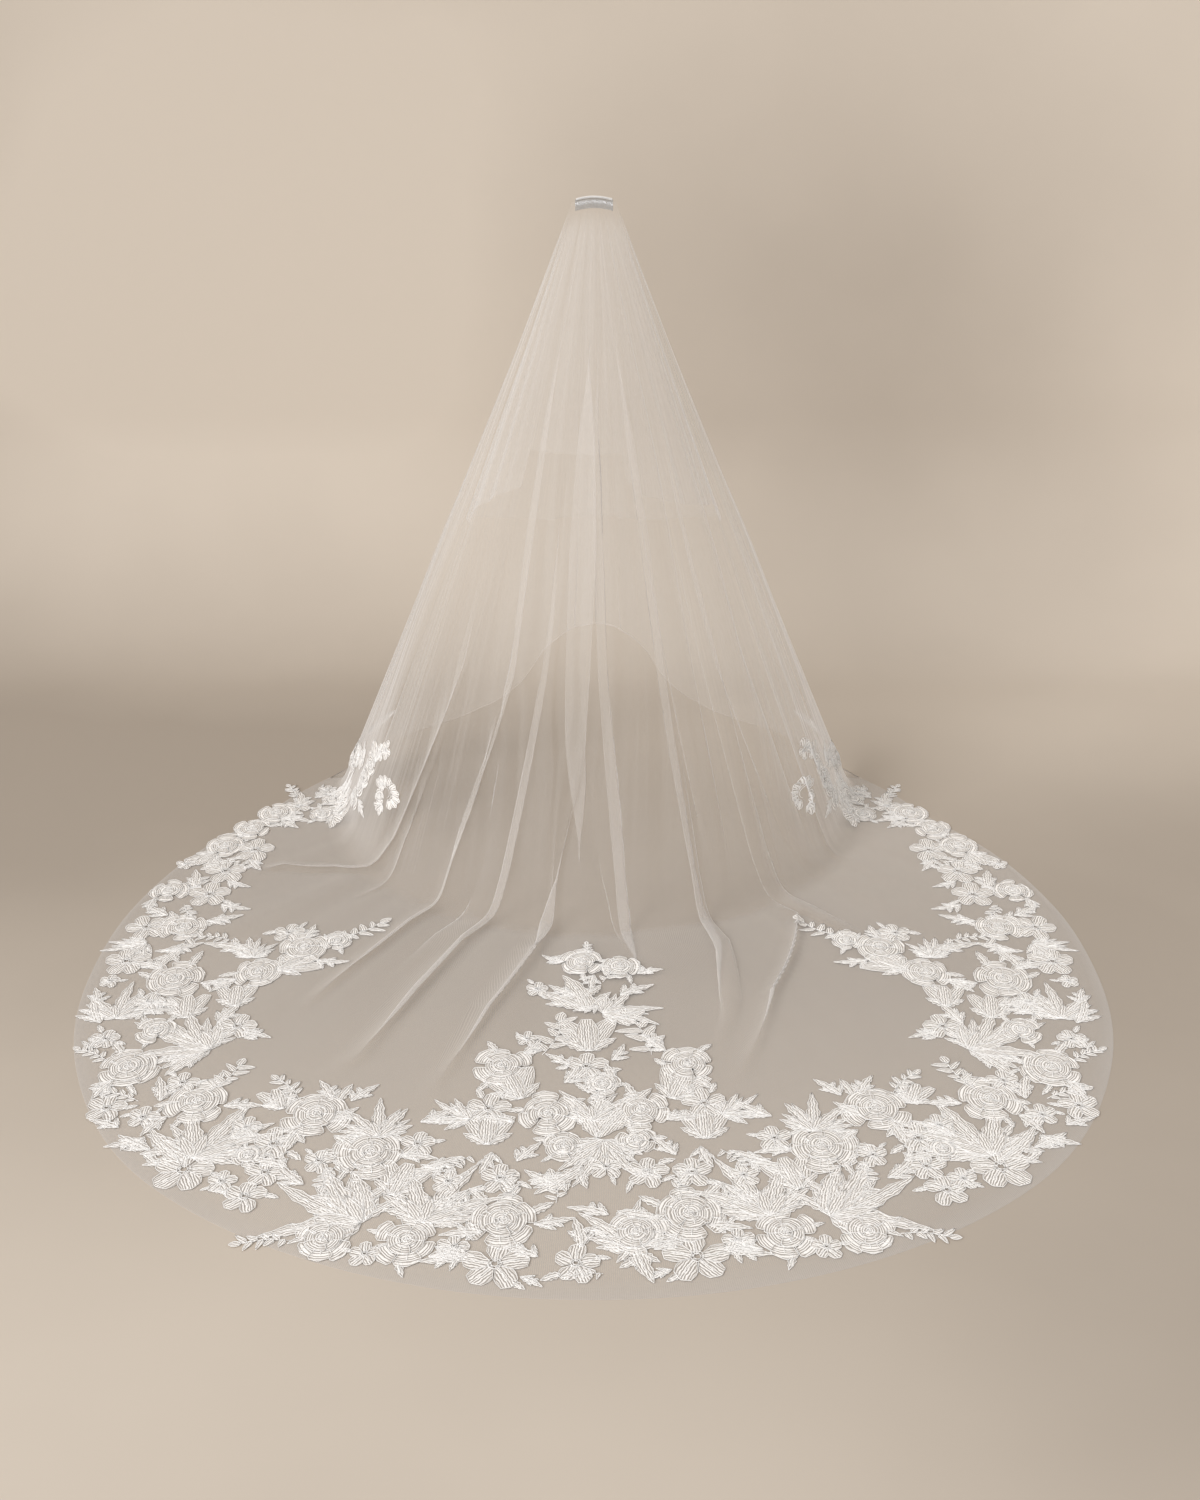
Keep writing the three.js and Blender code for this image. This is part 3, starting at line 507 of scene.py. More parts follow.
tulle = make_tulle("Soft nylon bobbin tulle", 0.085, 0.53)
print("material", tulle.name)

# %% The long tier
TIER_ROWS = np.concatenate([np.linspace(0, 0.12, 8), np.linspace(0.12, 0.9, 46)[1:],
                            np.linspace(0.9, 1.12, 28)[1:], np.linspace(1.12, 1.55, 34)[1:],
                            np.linspace(1.55, 1.995, 12)[1:], [2.0]])
FRONT_ANGLES = np.linspace(-CORNER, CORNER, 591)
BACK_ANGLES = np.linspace(CORNER, 360 - CORNER, 101)[1:-1]
CLOTH_LIFT = 0.001


def wrapped(angle):
    return (angle + 180) % 360 - 180


def tier_cloth(angle, row):
    wrap = wrapped(angle)
    point = tier_point(wrap, row)
    out, across = outward(lambda a, r: tier_point(wrapped(a), r), wrap, row, 2)
    radius = np.maximum(length_of(point[..., :2])[..., 0], 0.02)
    lift, slide = fold_shift(wrap, row, radius)
    lift = lift + small_waves(wrap, row)
    lying = smooth_step(row, 1.0, 1.04) * (np.abs(wrap) <= CORNER)
    out = out * (1 - lying[..., None]) + np.array([0, 0, 1.0]) * lying[..., None]
    return point + out * (lift + CLOTH_LIFT)[..., None] + across * slide[..., None]


angles, rows = np.meshgrid(np.concatenate([FRONT_ANGLES, BACK_ANGLES]), TIER_ROWS)
tier_points = tier_cloth(angles, rows)
tier_density = ((1 + 0.3 * (1 - smooth_step(rows, 0.0, 0.5)) + 0.95 * smooth_step(rows, 0.6, 0.95))
                * (0.2 + 0.8 * smooth_step(rows, 0.014, 0.05)))
tier_strands = 1 - smooth_step(rows, 0.7, 1.05)
tier_seam = np.where(rows >= 1.995, 0.15, 0.0)
long_tier = cloth_ring("long_tier", tier_points, tier_density, tier_seam, tier_strands, tulle)
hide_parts("veil_tier")
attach(long_tier, "root")
print("long tier faces", len(long_tier.data.polygons))

# %% The blusher, a short tier inside
def blusher_cloth(angle, row):
    wrap = wrapped(angle)

    def plain(a, r):
        a = wrapped(a)
        top, foot = gather_point(a, INNER_RING), foot_point(a, 0.86)
        return top + (foot - top) * (r * np.interp(a, *np.array(BLUSHER_HEM).T))[..., None]

    out, across = outward(plain, wrap, row, 1)
    turn = np.radians(wrap)
    wave = np.sin(16 * turn + 0.4) + 0.6 * np.sin(27 * turn + 1.9)
    lift = 0.003 * smooth_step(row, 0.1, 1) * (wave + 1.6)
    slide = 0.003 * smooth_step(row, 0.2, 1) * np.cos(16 * turn)
    return plain(wrap, row) + out * (lift + 0.0003)[..., None] + across * slide[..., None]


angles, rows = np.meshgrid(np.linspace(-180, 180, 601)[:-1], np.linspace(0, 1, 33))
blusher_density = 1.15 * (0.2 + 0.8 * smooth_step(rows, 0.03, 0.12))
blusher = cloth_ring("blusher", blusher_cloth(angles, rows), blusher_density,
                     np.where(rows >= 0.995, 0.02, 0.0), np.full_like(rows, 0.8), tulle)
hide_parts("blusher_tier")
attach(blusher, "root")
print("blusher faces", len(blusher.data.polygons))

# %% [markdown]
# ## Corded lace
#
# The border is Alencon style lace: net petals filled with fine thread lines, each one
# outlined by a raised cord. The cords stand up and throw small shadows, so they are real
# geometry. Every motif is built from one petal: a thin patch between two curved sides, and
# a cord that runs round it. Sprigs and small leaves fill in what the CAD's plain outlines
# leave out.

# %% A basket that collects patches and cords
class Basket:
    def __init__(self):
        self.points, self.faces, self.marks, self.cords = [], [], [], []

    def patch(self, grid, marks):
        points = grid.reshape(-1, 3)
        index = len(self.points) + np.arange(len(points)).reshape(grid.shape[:2])
        self.faces.extend(quads(index[:, :-1], index[:, 1:]).tolist())
        self.points.extend(points)
        self.marks.extend(marks.reshape(-1, 3))

    def cord(self, line):
        self.cords.append(np.asarray(line, dtype=float))


SIDES = {
    "round": lambda s: np.sin(math.pi * s ** 0.9) ** 0.62,
    "leaf": lambda s: np.sin(math.pi * s ** 0.75) ** 1.15,
    "bud": lambda s: np.sin(math.pi * (0.06 + 0.82 * s)) ** 0.8,
    "feather": lambda s: np.sin(math.pi * s ** 0.75) ** 0.8 * (1 + 0.22 * np.cos(26 * s)),
    "shell": lambda s: np.sin(math.pi * s ** 1.5) ** 0.5 * (1 + 0.07 * np.cos(30 * s)),
}


def turned(points, turn):
    turn = math.radians(turn)
    u, v = points[..., 0], points[..., 1]
    moved = points.copy()
    moved[..., 0] = u * math.cos(turn) - v * math.sin(turn)
    moved[..., 1] = u * math.sin(turn) + v * math.cos(turn)
    return moved


def onward(x, y, turn, reach):
    """The point that lies this far away in the direction of a turn."""
    turn = np.radians(turn)
    return x - reach * np.sin(turn), y + reach * np.cos(turn)


def petal(basket, at, size, turn, side="round", bend=0.0, rise=0.8, ribs=1, lines=9, heart=None):
    """Millimetres in, metres out. bend curls the middle line, the threads run round heart."""
    length, width = size
    base = np.array([*at, rise])
    s = np.linspace(0, 1, lines)
    half = SIDES[side](np.clip(s, 0.002, 0.998)) * width / 2
    curl = bend * length * (s ** 2)
    t = np.linspace(-1, 1, 4)
    u = curl[:, None] + half[:, None] * t[None, :]
    v = (s * length)[:, None]
    dome = 0.9 * (1 - t ** 2)[None, :] * np.sin(math.pi * s)[:, None]
    grid = turned(together(u, v, dome + 0.3), turn) + base
    threads = t[None, :] * half[:, None]
    if heart:
        threads = np.hypot(grid[..., 0] - heart[0], grid[..., 1] - heart[1])
    basket.patch(grid / 1000, together(threads, v, np.abs(t)[None, :]))
    rim = np.concatenate([grid[:, 0], grid[::-1, -1], grid[:1, 0]])
    basket.cord((rim + (0, 0, 0.7)) / 1000)
    for k in range(ribs):
        share = (k + 1) / (ribs + 1) * 2 - 1
        line = together(curl + share * half, s * length, 0.9 * np.sin(math.pi * s) + 0.8)
        basket.cord((turned(line[: max(3, int(lines * 0.85))], turn) + base) / 1000)


def ring_cord(basket, x, y, radius, turns, height):
    """A cord round a middle point, through the given turns."""
    basket.cord(together(*onward(x, y, turns, radius), height) / 1000)


# %% Small leaves that fill the gaps round a flower
EDGE_MARGIN = 22
BARE_ROUND_COMB = 400


def chance_at(x, y, a, b):
    """Random draws that depend on the place, so the mirrored half is the same."""
    return np.random.default_rng(int(abs(x) * a + abs(y) * b))


def on_the_train(x, y):
    turn = math.degrees(math.atan2(abs(x), TRAIN_MIDDLE * 1000 - y))
    limit = float(curve_through(TRAIN, turn)) * 1000 - EDGE_MARGIN
    return turn > TRAIN_END or math.hypot(x, y - TRAIN_MIDDLE * 1000) < limit


def companions(basket, x, y, size, count):
    if math.hypot(x, y) < BARE_ROUND_COMB:
        return
    chance = chance_at(x, y, 31, 17)
    for k in range(count):
        around = 360 * (k + chance.uniform(0.1, 0.8)) / count
        length = size * chance.uniform(0.55, 0.9)
        start = onward(x, y, around, 0.82 * size)
        lean = around + chance.uniform(-35, 35)
        if on_the_train(*onward(*start, lean, length)):
            petal(basket, start, (length, length * chance.uniform(0.3, 0.42)), lean, "feather",
                  bend=chance.uniform(-0.2, 0.2), rise=0.2)


# %% Motifs: roses, blossoms, leaves, fans, buds and sprigs
# petals in a ring, how far out they start, their length and width, and their height in mm
ROSE_RINGS = ((6, 0.32, 0.74, 0.9, 0.5), (5, 0.1, 0.58, 0.76, 2.1), (3, 0.0, 0.36, 0.5, 3.6))
FAN_LEAVES = ((-64, 0.52), (-36, 0.84), (-8, 1.0), (20, 0.86), (50, 0.6))


def rose(basket, x, y, size, turn):
    companions(basket, x, y, size, 3)
    chance = chance_at(x, y, 13, 7)
    for count, out, length, width, rise in ROSE_RINGS:
        for k in range(count):
            around = turn + (k + chance.uniform(-0.25, 0.25)) * 360 / count + 20 * count
            long = length * size * chance.uniform(0.76, 1.16)
            wide = width * size * chance.uniform(0.8, 1.1)
            petal(basket, onward(x, y, around, out * size), (long, wide), around, "shell",
                  bend=chance.uniform(-0.2, 0.2), rise=rise + 0.6 * (k % 2), ribs=k % 2,
                  lines=7, heart=(x, y))
    swirl = np.linspace(0, 1, 18)
    ring_cord(basket, x, y, size * (0.04 + 0.2 * swirl), turn - 90 + 576 * swirl,
              5.6 - 0.6 * swirl)


def blossom(basket, x, y, size, turn):
    companions(basket, x, y, size, 2)
    chance = chance_at(x, y, 3, 17)
    for k in range(5):
        around = turn + k * 72 + chance.uniform(-9, 9)
        long = 0.92 * size * chance.uniform(0.85, 1.08)
        petal(basket, onward(x, y, around, 0.1 * size), (long, 0.74 * size), around, "shell",
              bend=0.1, rise=0.6 + 0.3 * (k % 2), lines=8)
    for radius in (0.12, 0.22):
        ring_cord(basket, x, y, radius * size, np.linspace(-90, 270, 9), 2.8)


def curl(basket, x, y, size, turn):
    """A scroll flower: short scalloped petals along an open ring."""
    for k in range(9):
        around = turn - 112 + 28 * k
        petal(basket, onward(x, y, around, 0.5 * size), (0.6 * size, 0.46 * size), around,
              "shell", bend=0.15, rise=0.6 + 0.4 * (k % 2), lines=6)
    for radius in (0.36, 0.5):
        ring_cord(basket, x, y, radius * size, np.linspace(turn - 118, turn + 118, 14), 2.0)


def leaf(basket, x, y, size, turn):
    chance = chance_at(x, y, 5, 3)
    hand = chance.choice([-1, 1])
    petal(basket, (x, y), (size, 0.27 * size), turn, "feather",
          bend=hand * chance.uniform(0.08, 0.24), rise=0.9, lines=14)
    for k, side in enumerate((hand, -hand, hand)):
        petal(basket, onward(x, y, turn, (0.06 + 0.17 * k) * size),
              ((0.52 - 0.09 * k) * size, 0.16 * size), turn + side * chance.uniform(22, 46),
              "feather", bend=-0.16 * side, rise=0.4)


def fan(basket, x, y, size, turn):
    """Long leaves from one point, each with a shorter one laid beside it."""
    chance = chance_at(x, y, 11, 19)
    for k, (swing, share) in enumerate(FAN_LEAVES):
        hand = -1 if swing < 0 else 1
        length = share * size * chance.uniform(0.9, 1.06)
        petal(basket, (x, y), (length, 0.17 * size), turn + swing, "feather",
              bend=-hand * chance.uniform(0.05, 0.25), rise=0.5 + 0.4 * (k % 2), lines=15)
        petal(basket, (x, y), (0.74 * length, 0.13 * size),
              turn + swing + hand * chance.uniform(9, 15), "feather", bend=-hand * 0.2,
              rise=0.3, lines=11)
    for swing in (-48, 4, 38):
        petal(basket, (x, y), (0.4 * size, 0.12 * size), turn + swing, "leaf", rise=1.7,
              ribs=0, lines=7)


def bud(basket, x, y, size, turn):
    for length, width, swing, side, bend, rise, ribs in (
            (0.6, 0.22, 48, "feather", -0.12, 0.2, 1), (0.6, 0.22, -48, "feather", 0.12, 0.2, 1),
            (1.0, 0.42, 17, "bud", -0.16, 0.4, 1), (1.0, 0.42, -17, "bud", 0.16, 0.4, 1),
            (0.92, 0.4, 0, "bud", 0.0, 1.3, 2)):
        petal(basket, (x, y), (length * size, width * size), turn + swing, side, bend, rise, ribs)


def sprig(basket, x, y, size, turn):
    s = np.linspace(0, 1, 10)
    stalk = together(0.12 * size * np.sin(2.6 * s), s * size, 1.0)
    stalk = turned(stalk, turn) + (x, y, 0)
    basket.cord(stalk / 1000)
    chance = chance_at(x, y, 23, 1)
    for k in range(8):
        side = (-1) ** k
        long, wide = chance.uniform(0.22, 0.36) * size, chance.uniform(0.12, 0.17) * size
        petal(basket, stalk[k + 1, :2], (long, wide), turn + side * chance.uniform(30, 62),
              "feather", bend=-0.15 * side, ribs=0, lines=6)
    petal(basket, stalk[-1, :2], (0.26 * size, 0.17 * size), turn, ribs=0, lines=6)


MOTIFS = {motif.__name__: motif for motif in (rose, blossom, leaf, fan, bud, sprig, curl)}
print("motifs", ", ".join(MOTIFS))

# %% [markdown]
# Where each motif sits, seen from above in millimetres: the left half is drawn once and
# mirrored, each applique shifted a little as on a veil sewn by hand. An entry is its form,
# x, y, size and, unless it is 0, its turn in degrees anticlockwise from +Y.

# %% Places of the lace, left half
def read_places(text):
    """A semicolon ends a group, a comma an entry."""
    blocks = (block.split(":") for block in text.split(";"))
    return {group.strip(): [place.split() for place in places.split(",")]
            for group, places in blocks}


LACE = read_places("""
shoulder: rose -862 50 50, blossom -808 96 36 20, leaf -806 95 95 -2, leaf -850 20 95 -95,
  sprig -822 150 80 25, blossom -745 205 26, leaf -770 150 70 -30, leaf -842 0 70 -140,
  rose -715 140 34, leaf -735 170 70 -60, blossom -690 92 28, leaf -720 60 80 -115,
  rose -735 40 38, bud -705 20 60 -150, leaf -790 20 70 100, leaf -700 130 60 -20;
back: rose -912 -52 50 10, rose -965 -160 52, blossom -884 -186 54, bud -985 -200 82 150,
  blossom -940 -312 56 15, leaf -1005 -410 105 -2, leaf -905 -100 70 60, leaf -890 -240 80 -160,
  sprig -905 -250 90 120, blossom -1050 -272 24, leaf -925 -370 70 -130;
flank: rose -1062 -424 46, blossom -958 -446 55 8, leaf -1040 -560 85 55, rose -990 -622 58,
  blossom -1080 -622 50 30, leaf -1090 -470 70 170, leaf -920 -500 80 -120, leaf -940 -590 90 -75,
  sprig -1010 -500 70 -150;
side: fan -1062 -705 112 128, blossom -1092 -795 54 10, rose -962 -880 70, leaf -975 -730 110 150,
  leaf -1015 -740 95 -75, fan -1060 -1060 160 12, leaf -1090 -1080 120 25, bud -905 -1056 95 8,
  leaf -1000 -830 90 60, leaf -900 -900 80 -90, sprig -970 -960 90 160, blossom -1110 -890 26,
  blossom -1000 -985 36, leaf -930 -1000 80 80, leaf -1115 -990 70 10, rose -960 -1112 42,
  blossom -1062 -1150 34, leaf -1090 -1190 70 -10, leaf -1000 -1040 70 -60;
spur: rose -776 -848 56, rose -686 -728 58 15, bud -735 -835 105 -55, blossom -732 -652 38,
  fan -800 -775 100 12, leaf -800 -745 130 62, rose -612 -694 34, sprig -615 -680 125 -48,
  leaf -650 -790 80 -110, leaf -690 -680 70 -20, leaf -820 -880 80 130, sprig -860 -690 90 80;
bell: bud -806 -1005 88 5, leaf -830 -1080 95 -18, blossom -785 -1095 46, leaf -828 -1185 110 -12,
  fan -826 -1192 220 72, leaf -835 -1195 125 140, rose -990 -1268 66, leaf -770 -1120 70 -100,
  sprig -1040 -1240 80 60, leaf -1010 -1320 80 150;
lower: rose -820 -1402 62, sprig -800 -1360 110 -20, blossom -862 -1330 36, blossom -918 -1462 34,
  blossom -1000 -1428 42, leaf -895 -1400 95 5, fan -790 -1610 225 -12, leaf -800 -1625 150 50,
  blossom -800 -1650 66, leaf -760 -1420 80 -80, leaf -870 -1460 80 140, sprig -940 -1400 90 70,
  leaf -880 -1580 90 60, blossom -700 -1500 34, leaf -720 -1540 90 -40, leaf -960 -1500 70 60,
  blossom -720 -1690 30, leaf -900 -1540 80 120, leaf -680 -1420 70 -50;
garland: rose -566 -1450 68, bud -640 -1430 75 20, leaf -545 -1475 80 -60, blossom -638 -1560 46,
  leaf -590 -1490 110 160, leaf -520 -1530 100 -130, rose -442 -1588 68 10, fan -430 -1535 150 15,
  leaf -500 -1400 80 -30, leaf -540 -1395 80 15, sprig -610 -1390 90 40, leaf -380 -1600 75 -90,
  leaf -350 -1480 90 -60, sprig -500 -1630 80 170, blossom -350 -1560 38, leaf -330 -1640 80 -70,
  blossom -540 -1620 34, leaf -600 -1640 90 60, leaf -400 -1700 80 -60;
spray: fan -435 -1825 240 72, leaf -435 -1820 190 35, leaf -430 -1820 165 3, blossom -668 -1740 44,
  blossom -640 -1660 40, rose -500 -1875 54, rose -345 -1880 58, blossom -418 -1922 32,
  fan -320 -1825 215 -12, bud -385 -1735 105 -15, rose -682 -1600 30, leaf -560 -1700 90 50,
  sprig -560 -1880 90 100, leaf -290 -1900 80 -120, leaf -300 -1930 70 -70, sprig -450 -1700 90 10;
arm: bud -212 -1560 100, blossom -215 -1430 44, fan -250 -1470 110 65, leaf -200 -1590 75 170,
  sprig -240 -1600 70 150, leaf -190 -1390 60 -30, leaf -290 -1640 80 110, blossom -280 -1690 32,
  leaf -150 -1620 80 -30, leaf -240 -1720 80 150;
hem: rose -170 -1818 68, leaf -205 -1855 80 85, blossom -178 -1952 60, blossom -180 -1680 42,
  sprig -150 -1750 80 20, leaf -110 -1830 80 -80, sprig -250 -1790 70 60, leaf -130 -1990 50 -120,
  blossom -255 -1900 32, leaf -240 -1930 80 110, leaf -100 -1930 70 60, leaf -120 -1700 80 -60
""")

# %% Places of the lace in the middle, and on the hanging cloth
LACE_MIDDLE = read_places("""
bouquet: rose -28 -808 50, rose 60 -828 42, sprig -22 -785 62, leaf -10 -1035 175 8,
  leaf -20 -1030 150 42, blossom -128 -930 28, fan 20 -1040 150 -62, leaf -40 -960 80 60,
  leaf 60 -960 90 -50, leaf 100 -860 60 -70, leaf -70 -800 60 70, sprig 20 -900 90 -10,
  leaf 0 -870 70 170, leaf 10 -1010 60 120;
stem: bud -10 -1200 125 3, sprig -110 -1215 145 -10, sprig 125 -1215 170 22, rose -195 -1262 60,
  rose 200 -1255 56, bud -150 -1390 110 20, bud 165 -1390 105 -20, blossom -15 -1265 46,
  rose -93 -1450 60, rose 97 -1436 56, leaf 12 -1535 210 -22, leaf 8 -1535 150 12,
  leaf -150 -1210 70 -40, leaf 155 -1200 70 40, blossom -145 -1150 24, blossom 130 -1160 24,
  leaf -60 -1330 80 -30, leaf 45 -1330 80 20, leaf -10 -1370 90 -6, leaf -160 -1480 80 70,
  leaf 150 -1470 80 -70, sprig 0 -1420 80, fan 0 -1475 150 4, rose 18 -1335 38,
  leaf -50 -1260 70 40, leaf 40 -1240 70 -30;
heart: fan 20 -1545 165 180, rose -58 -1568 42, rose 87 -1548 38, leaf -20 -1640 130 140,
  blossom 105 -1658 42, fan 78 -1905 170 15, rose 80 -1855 58, leaf 78 -1880 130 185,
  blossom -30 -1950 46, leaf -20 -1900 90 2, blossom 26 -1640 34, sprig -70 -1760 90 10,
  leaf -70 -1700 80 60, leaf 150 -1780 80 -40, leaf 30 -1800 80 60, sprig 20 -1980 60 100
""")
LACE_HUNG = read_places("""
corner: blossom 118 148 20, blossom 80 128 18 30, bud 66 96 46 30, rose 40 80 22, rose 22 36 22,
  bud 44 10 44 60, rose 4 -4 22, leaf 30 -30 50 -100, rose -14 -44 24, leaf -60 40 50 60,
  blossom -105 30 22, bud -160 -20 50 20, rose -205 -30 24, leaf -240 -20 50 -20, rose -276 -46 24;
scroll: curl 0 0 34 -25, rose -26 -22 13, bud 2 -34 26 150, blossom -34 8 12
""")
# the strand's angle and row where a hung applique is pinned, and its stretch sideways
HUNG_AT = {"corner": (85.0, 0.92, 2.0), "scroll": (66.0, 0.885, 2.1)}
STRAND = 1.74
DRIFT = {"shoulder": (-10, 0), "back": (-14, 0), "flank": (-16, 0), "side": (-22, 0),
         "spur": (-10, 0), "bell": (-16, 0), "lower": (0, 10), "garland": (14, 22),
         "spray": (14, 22), "arm": (14, 22), "hem": (14, 22)}
TALLER = {"rose": 1.26, "blossom": 1.24, "bud": 1.12}


def fill_basket(places, wider=1.0):
    """Round flowers were measured taller than wide, as lace pulled lengthwise is."""
    basket = Basket()
    for form, *numbers in places:
        x, y, size, turn = [float(n) for n in (*numbers, 0)][:4]
        point, cord = len(basket.points), len(basket.cords)
        MOTIFS[form](basket, x, y, size, turn)
        centre, scale = np.array([x, y, 0]) / 1000, np.array([wider, TALLER.get(form, 1.0), 1.0])
        basket.points[point:] = [centre + (p - centre) * scale for p in basket.points[point:]]
        basket.cords[cord:] = [centre + (c - centre) * scale for c in basket.cords[cord:]]
    return basket


# %% [markdown]
# The lace lies on the tulle, so each point is dropped onto the finished cloth, and the
# hung lace is laid by the drape's own rule. The cords are bare paths until Geometry Nodes
# turn them into round thread: Mesh to Curve, Curve to Mesh with a small circle, copies
# along a line where a path repeats, then the material. The comb's wires are made alike.

# %% Cotton cord and net filling
def make_lace(name, thread_hex, gap_and_shade_hex, gap_cover):
    """Thread lines run along each petal 6 mm apart, drawn coarser than the real 1 mm. Their gaps
    are partly the net and partly painted shade, and the fill is painted darker towards each petal's
    rim as shade beside the cord.
    """
    material, tree = new_material(name)
    marks = attribute(tree, "marks", "Vector")
    lines = add_node(tree, "ShaderNodeTexWave", {"Vector": marks, "Scale": 0.058, "Distortion": 5.5,
                                                 "Detail": 2.0, "Detail Scale": 1.1},
                     wave_type="BANDS", bands_direction="X").outputs["Fac"]
    coords = add_node(tree, "ShaderNodeTexCoord").outputs["Object"]
    twist = noise(tree, coords, 420.0, 2)
    rim = add_node(tree, "ShaderNodeSeparateXYZ", {0: marks}).outputs["Z"]
    # painted shade: the gaps between thread lines and the edge of each petal next to its cord are
    # made darker
    threads_and_rim_shade = calc(tree, "MULTIPLY", remap(tree, lines, 0.15, 0.7, 0.15, 1),
                remap(tree, rim, 0.6, 0.98, 1, 0.25))
    height = threads_and_rim_shade if gap_cover < 1 else twist
    mixed = add_node(tree, "ShaderNodeMix", {0: height, 6: linear(gap_and_shade_hex), 7: linear(thread_hex)},
                     data_type="RGBA").outputs[2]
    bump = add_node(tree, "ShaderNodeBump", {"Height": height, "Strength": 0.7,
                                             "Distance": 0.001})
    thread = add_node(tree, "ShaderNodeBsdfPrincipled", {
        "Base Color": mixed, "Roughness": 0.62, "Specular IOR Level": 0.35, "Sheen Weight": 0.2,
        "Subsurface Weight": 0.15, "Subsurface Radius": (0.002, 0.002, 0.002), "Normal": bump})
    if gap_cover < 1:
        cover = remap(tree, calc(tree, "MULTIPLY", lines, twist), 0.03, 0.3, gap_cover, 1)
        tree.links.new(cover, thread.inputs["Alpha"])
    add_node(tree, "ShaderNodeOutputMaterial", {"Surface": thread})
    return material


# beb7b0 is the gap tone: partly the net between threads, partly painted shade in the grooves and at
# the rims
lace_fill = make_lace("Thread-filled lace net", "fffdfb", "beb7b0", 0.55)
lace_cord = make_lace("Cotton cord", "ffffff", "f4f2f1", 1.0)

# %% A tree that makes tubes along paths, and the function that runs it
def tube_tree(name, material):
    tree = bpy.data.node_groups.new(name, "GeometryNodeTree")
    tree.interface.new_socket("Geometry", in_out="INPUT", socket_type="NodeSocketGeometry")
    sizes = (("Radius", "NodeSocketFloat"), ("Sides", "NodeSocketInt"), ("Copies", "NodeSocketInt"),
             ("First copy", "NodeSocketVector"), ("Step", "NodeSocketVector"))
    ids = [tree.interface.new_socket(label, in_out="INPUT", socket_type=kind).identifier
           for label, kind in sizes]
    tree.interface.new_socket("Geometry", in_out="OUTPUT", socket_type="NodeSocketGeometry")
    given = add_node(tree, "NodeGroupInput").outputs
    path = add_node(tree, "GeometryNodeMeshToCurve", {"Mesh": given["Geometry"]})
    ring = add_node(tree, "GeometryNodeCurvePrimitiveCircle",
                    {"Resolution": given["Sides"], "Radius": given["Radius"]})
    tube = add_node(tree, "GeometryNodeCurveToMesh", {
        "Curve": path, "Profile Curve": ring, "Fill Caps": True})
    row = add_node(tree, "GeometryNodeMeshLine", {
        "Count": given["Copies"], "Start Location": given["First copy"], "Offset": given["Step"]},
        mode="OFFSET")
    copies = add_node(tree, "GeometryNodeInstanceOnPoints",
                      {"Points": row, "Instance": tube})
    whole = add_node(tree, "GeometryNodeRealizeInstances", {"Geometry": copies})
    painted = add_node(tree, "GeometryNodeSetMaterial",
                       {"Geometry": whole, "Material": material})
    add_node(tree, "NodeGroupOutput", {"Geometry": painted})
    return tree, ids


def tubes(made_by, lines, radius, sides, copies=1, first=(0.0, 0.0, 0.0), step=(0.0, 0.0, 0.0)):
    tree, ids = made_by
    points, edges = [], []
    for line in lines:
        start = len(points)
        points.extend(tuple(p) for p in line)
        edges.extend((start + i, start + i + 1) for i in range(len(line) - 1))
    mesh = bpy.data.meshes.new("paths")
    mesh.from_pydata(points, edges, [])
    carrier = bpy.data.objects.new("paths", mesh)
    link(carrier)
    modifier = carrier.modifiers.new("tubes", "NODES")
    modifier.node_group = tree
    for socket, value in zip(ids, (radius, sides, copies, first, step)):
        modifier[socket] = value
    evaluated = carrier.evaluated_get(bpy.context.evaluated_depsgraph_get())
    made = bpy.data.meshes.new_from_object(evaluated)
    tube_points = np.empty(len(made.vertices) * 3)
    made.vertices.foreach_get("co", tube_points)
    tube_faces = [tuple(p.vertices) for p in made.polygons]
    bpy.data.objects.remove(carrier)
    bpy.data.meshes.remove(made)
    return tube_points.reshape(-1, 3), tube_faces


lace_tubes = tube_tree("Round cord along paths", lace_cord)

# %% Lay an applique on the cloth
CORD_RADIUS = 0.0009
CORD_SIDES = 3
ABOVE_CLOTH = 0.0006
cloth_tree = BVHTree.FromPolygons([tuple(v.co) for v in long_tier.data.vertices],
                                  [tuple(p.vertices) for p in long_tier.data.polygons])


def lay_flat(points):
    laid = points.copy()
    for i, (x, y, z) in enumerate(points):
        hit = cloth_tree.ray_cast(Vector((x, y, FLOOR + 0.2)), Vector((0, 0, -1)))[0]
        laid[i, 2] = z + (hit.z if hit else FLOOR + 0.001)
    return laid


def hang_on(angle, row, side):
    """Lays points on the hanging cloth: +Y runs up the strand, and X round the veil."""
    radius = length_of(tier_point(np.array([side * angle]), np.array([row]))[..., :2])[0, 0]

    def laid(points):
        around = side * angle + np.degrees(points[:, 0] / radius)
        along = row - points[:, 1] / STRAND
        out = outward(tier_point, around, along, 2)[0]
        return tier_cloth(around, along) + out * (points[:, 2] + ABOVE_CLOTH)[:, None]
    return laid


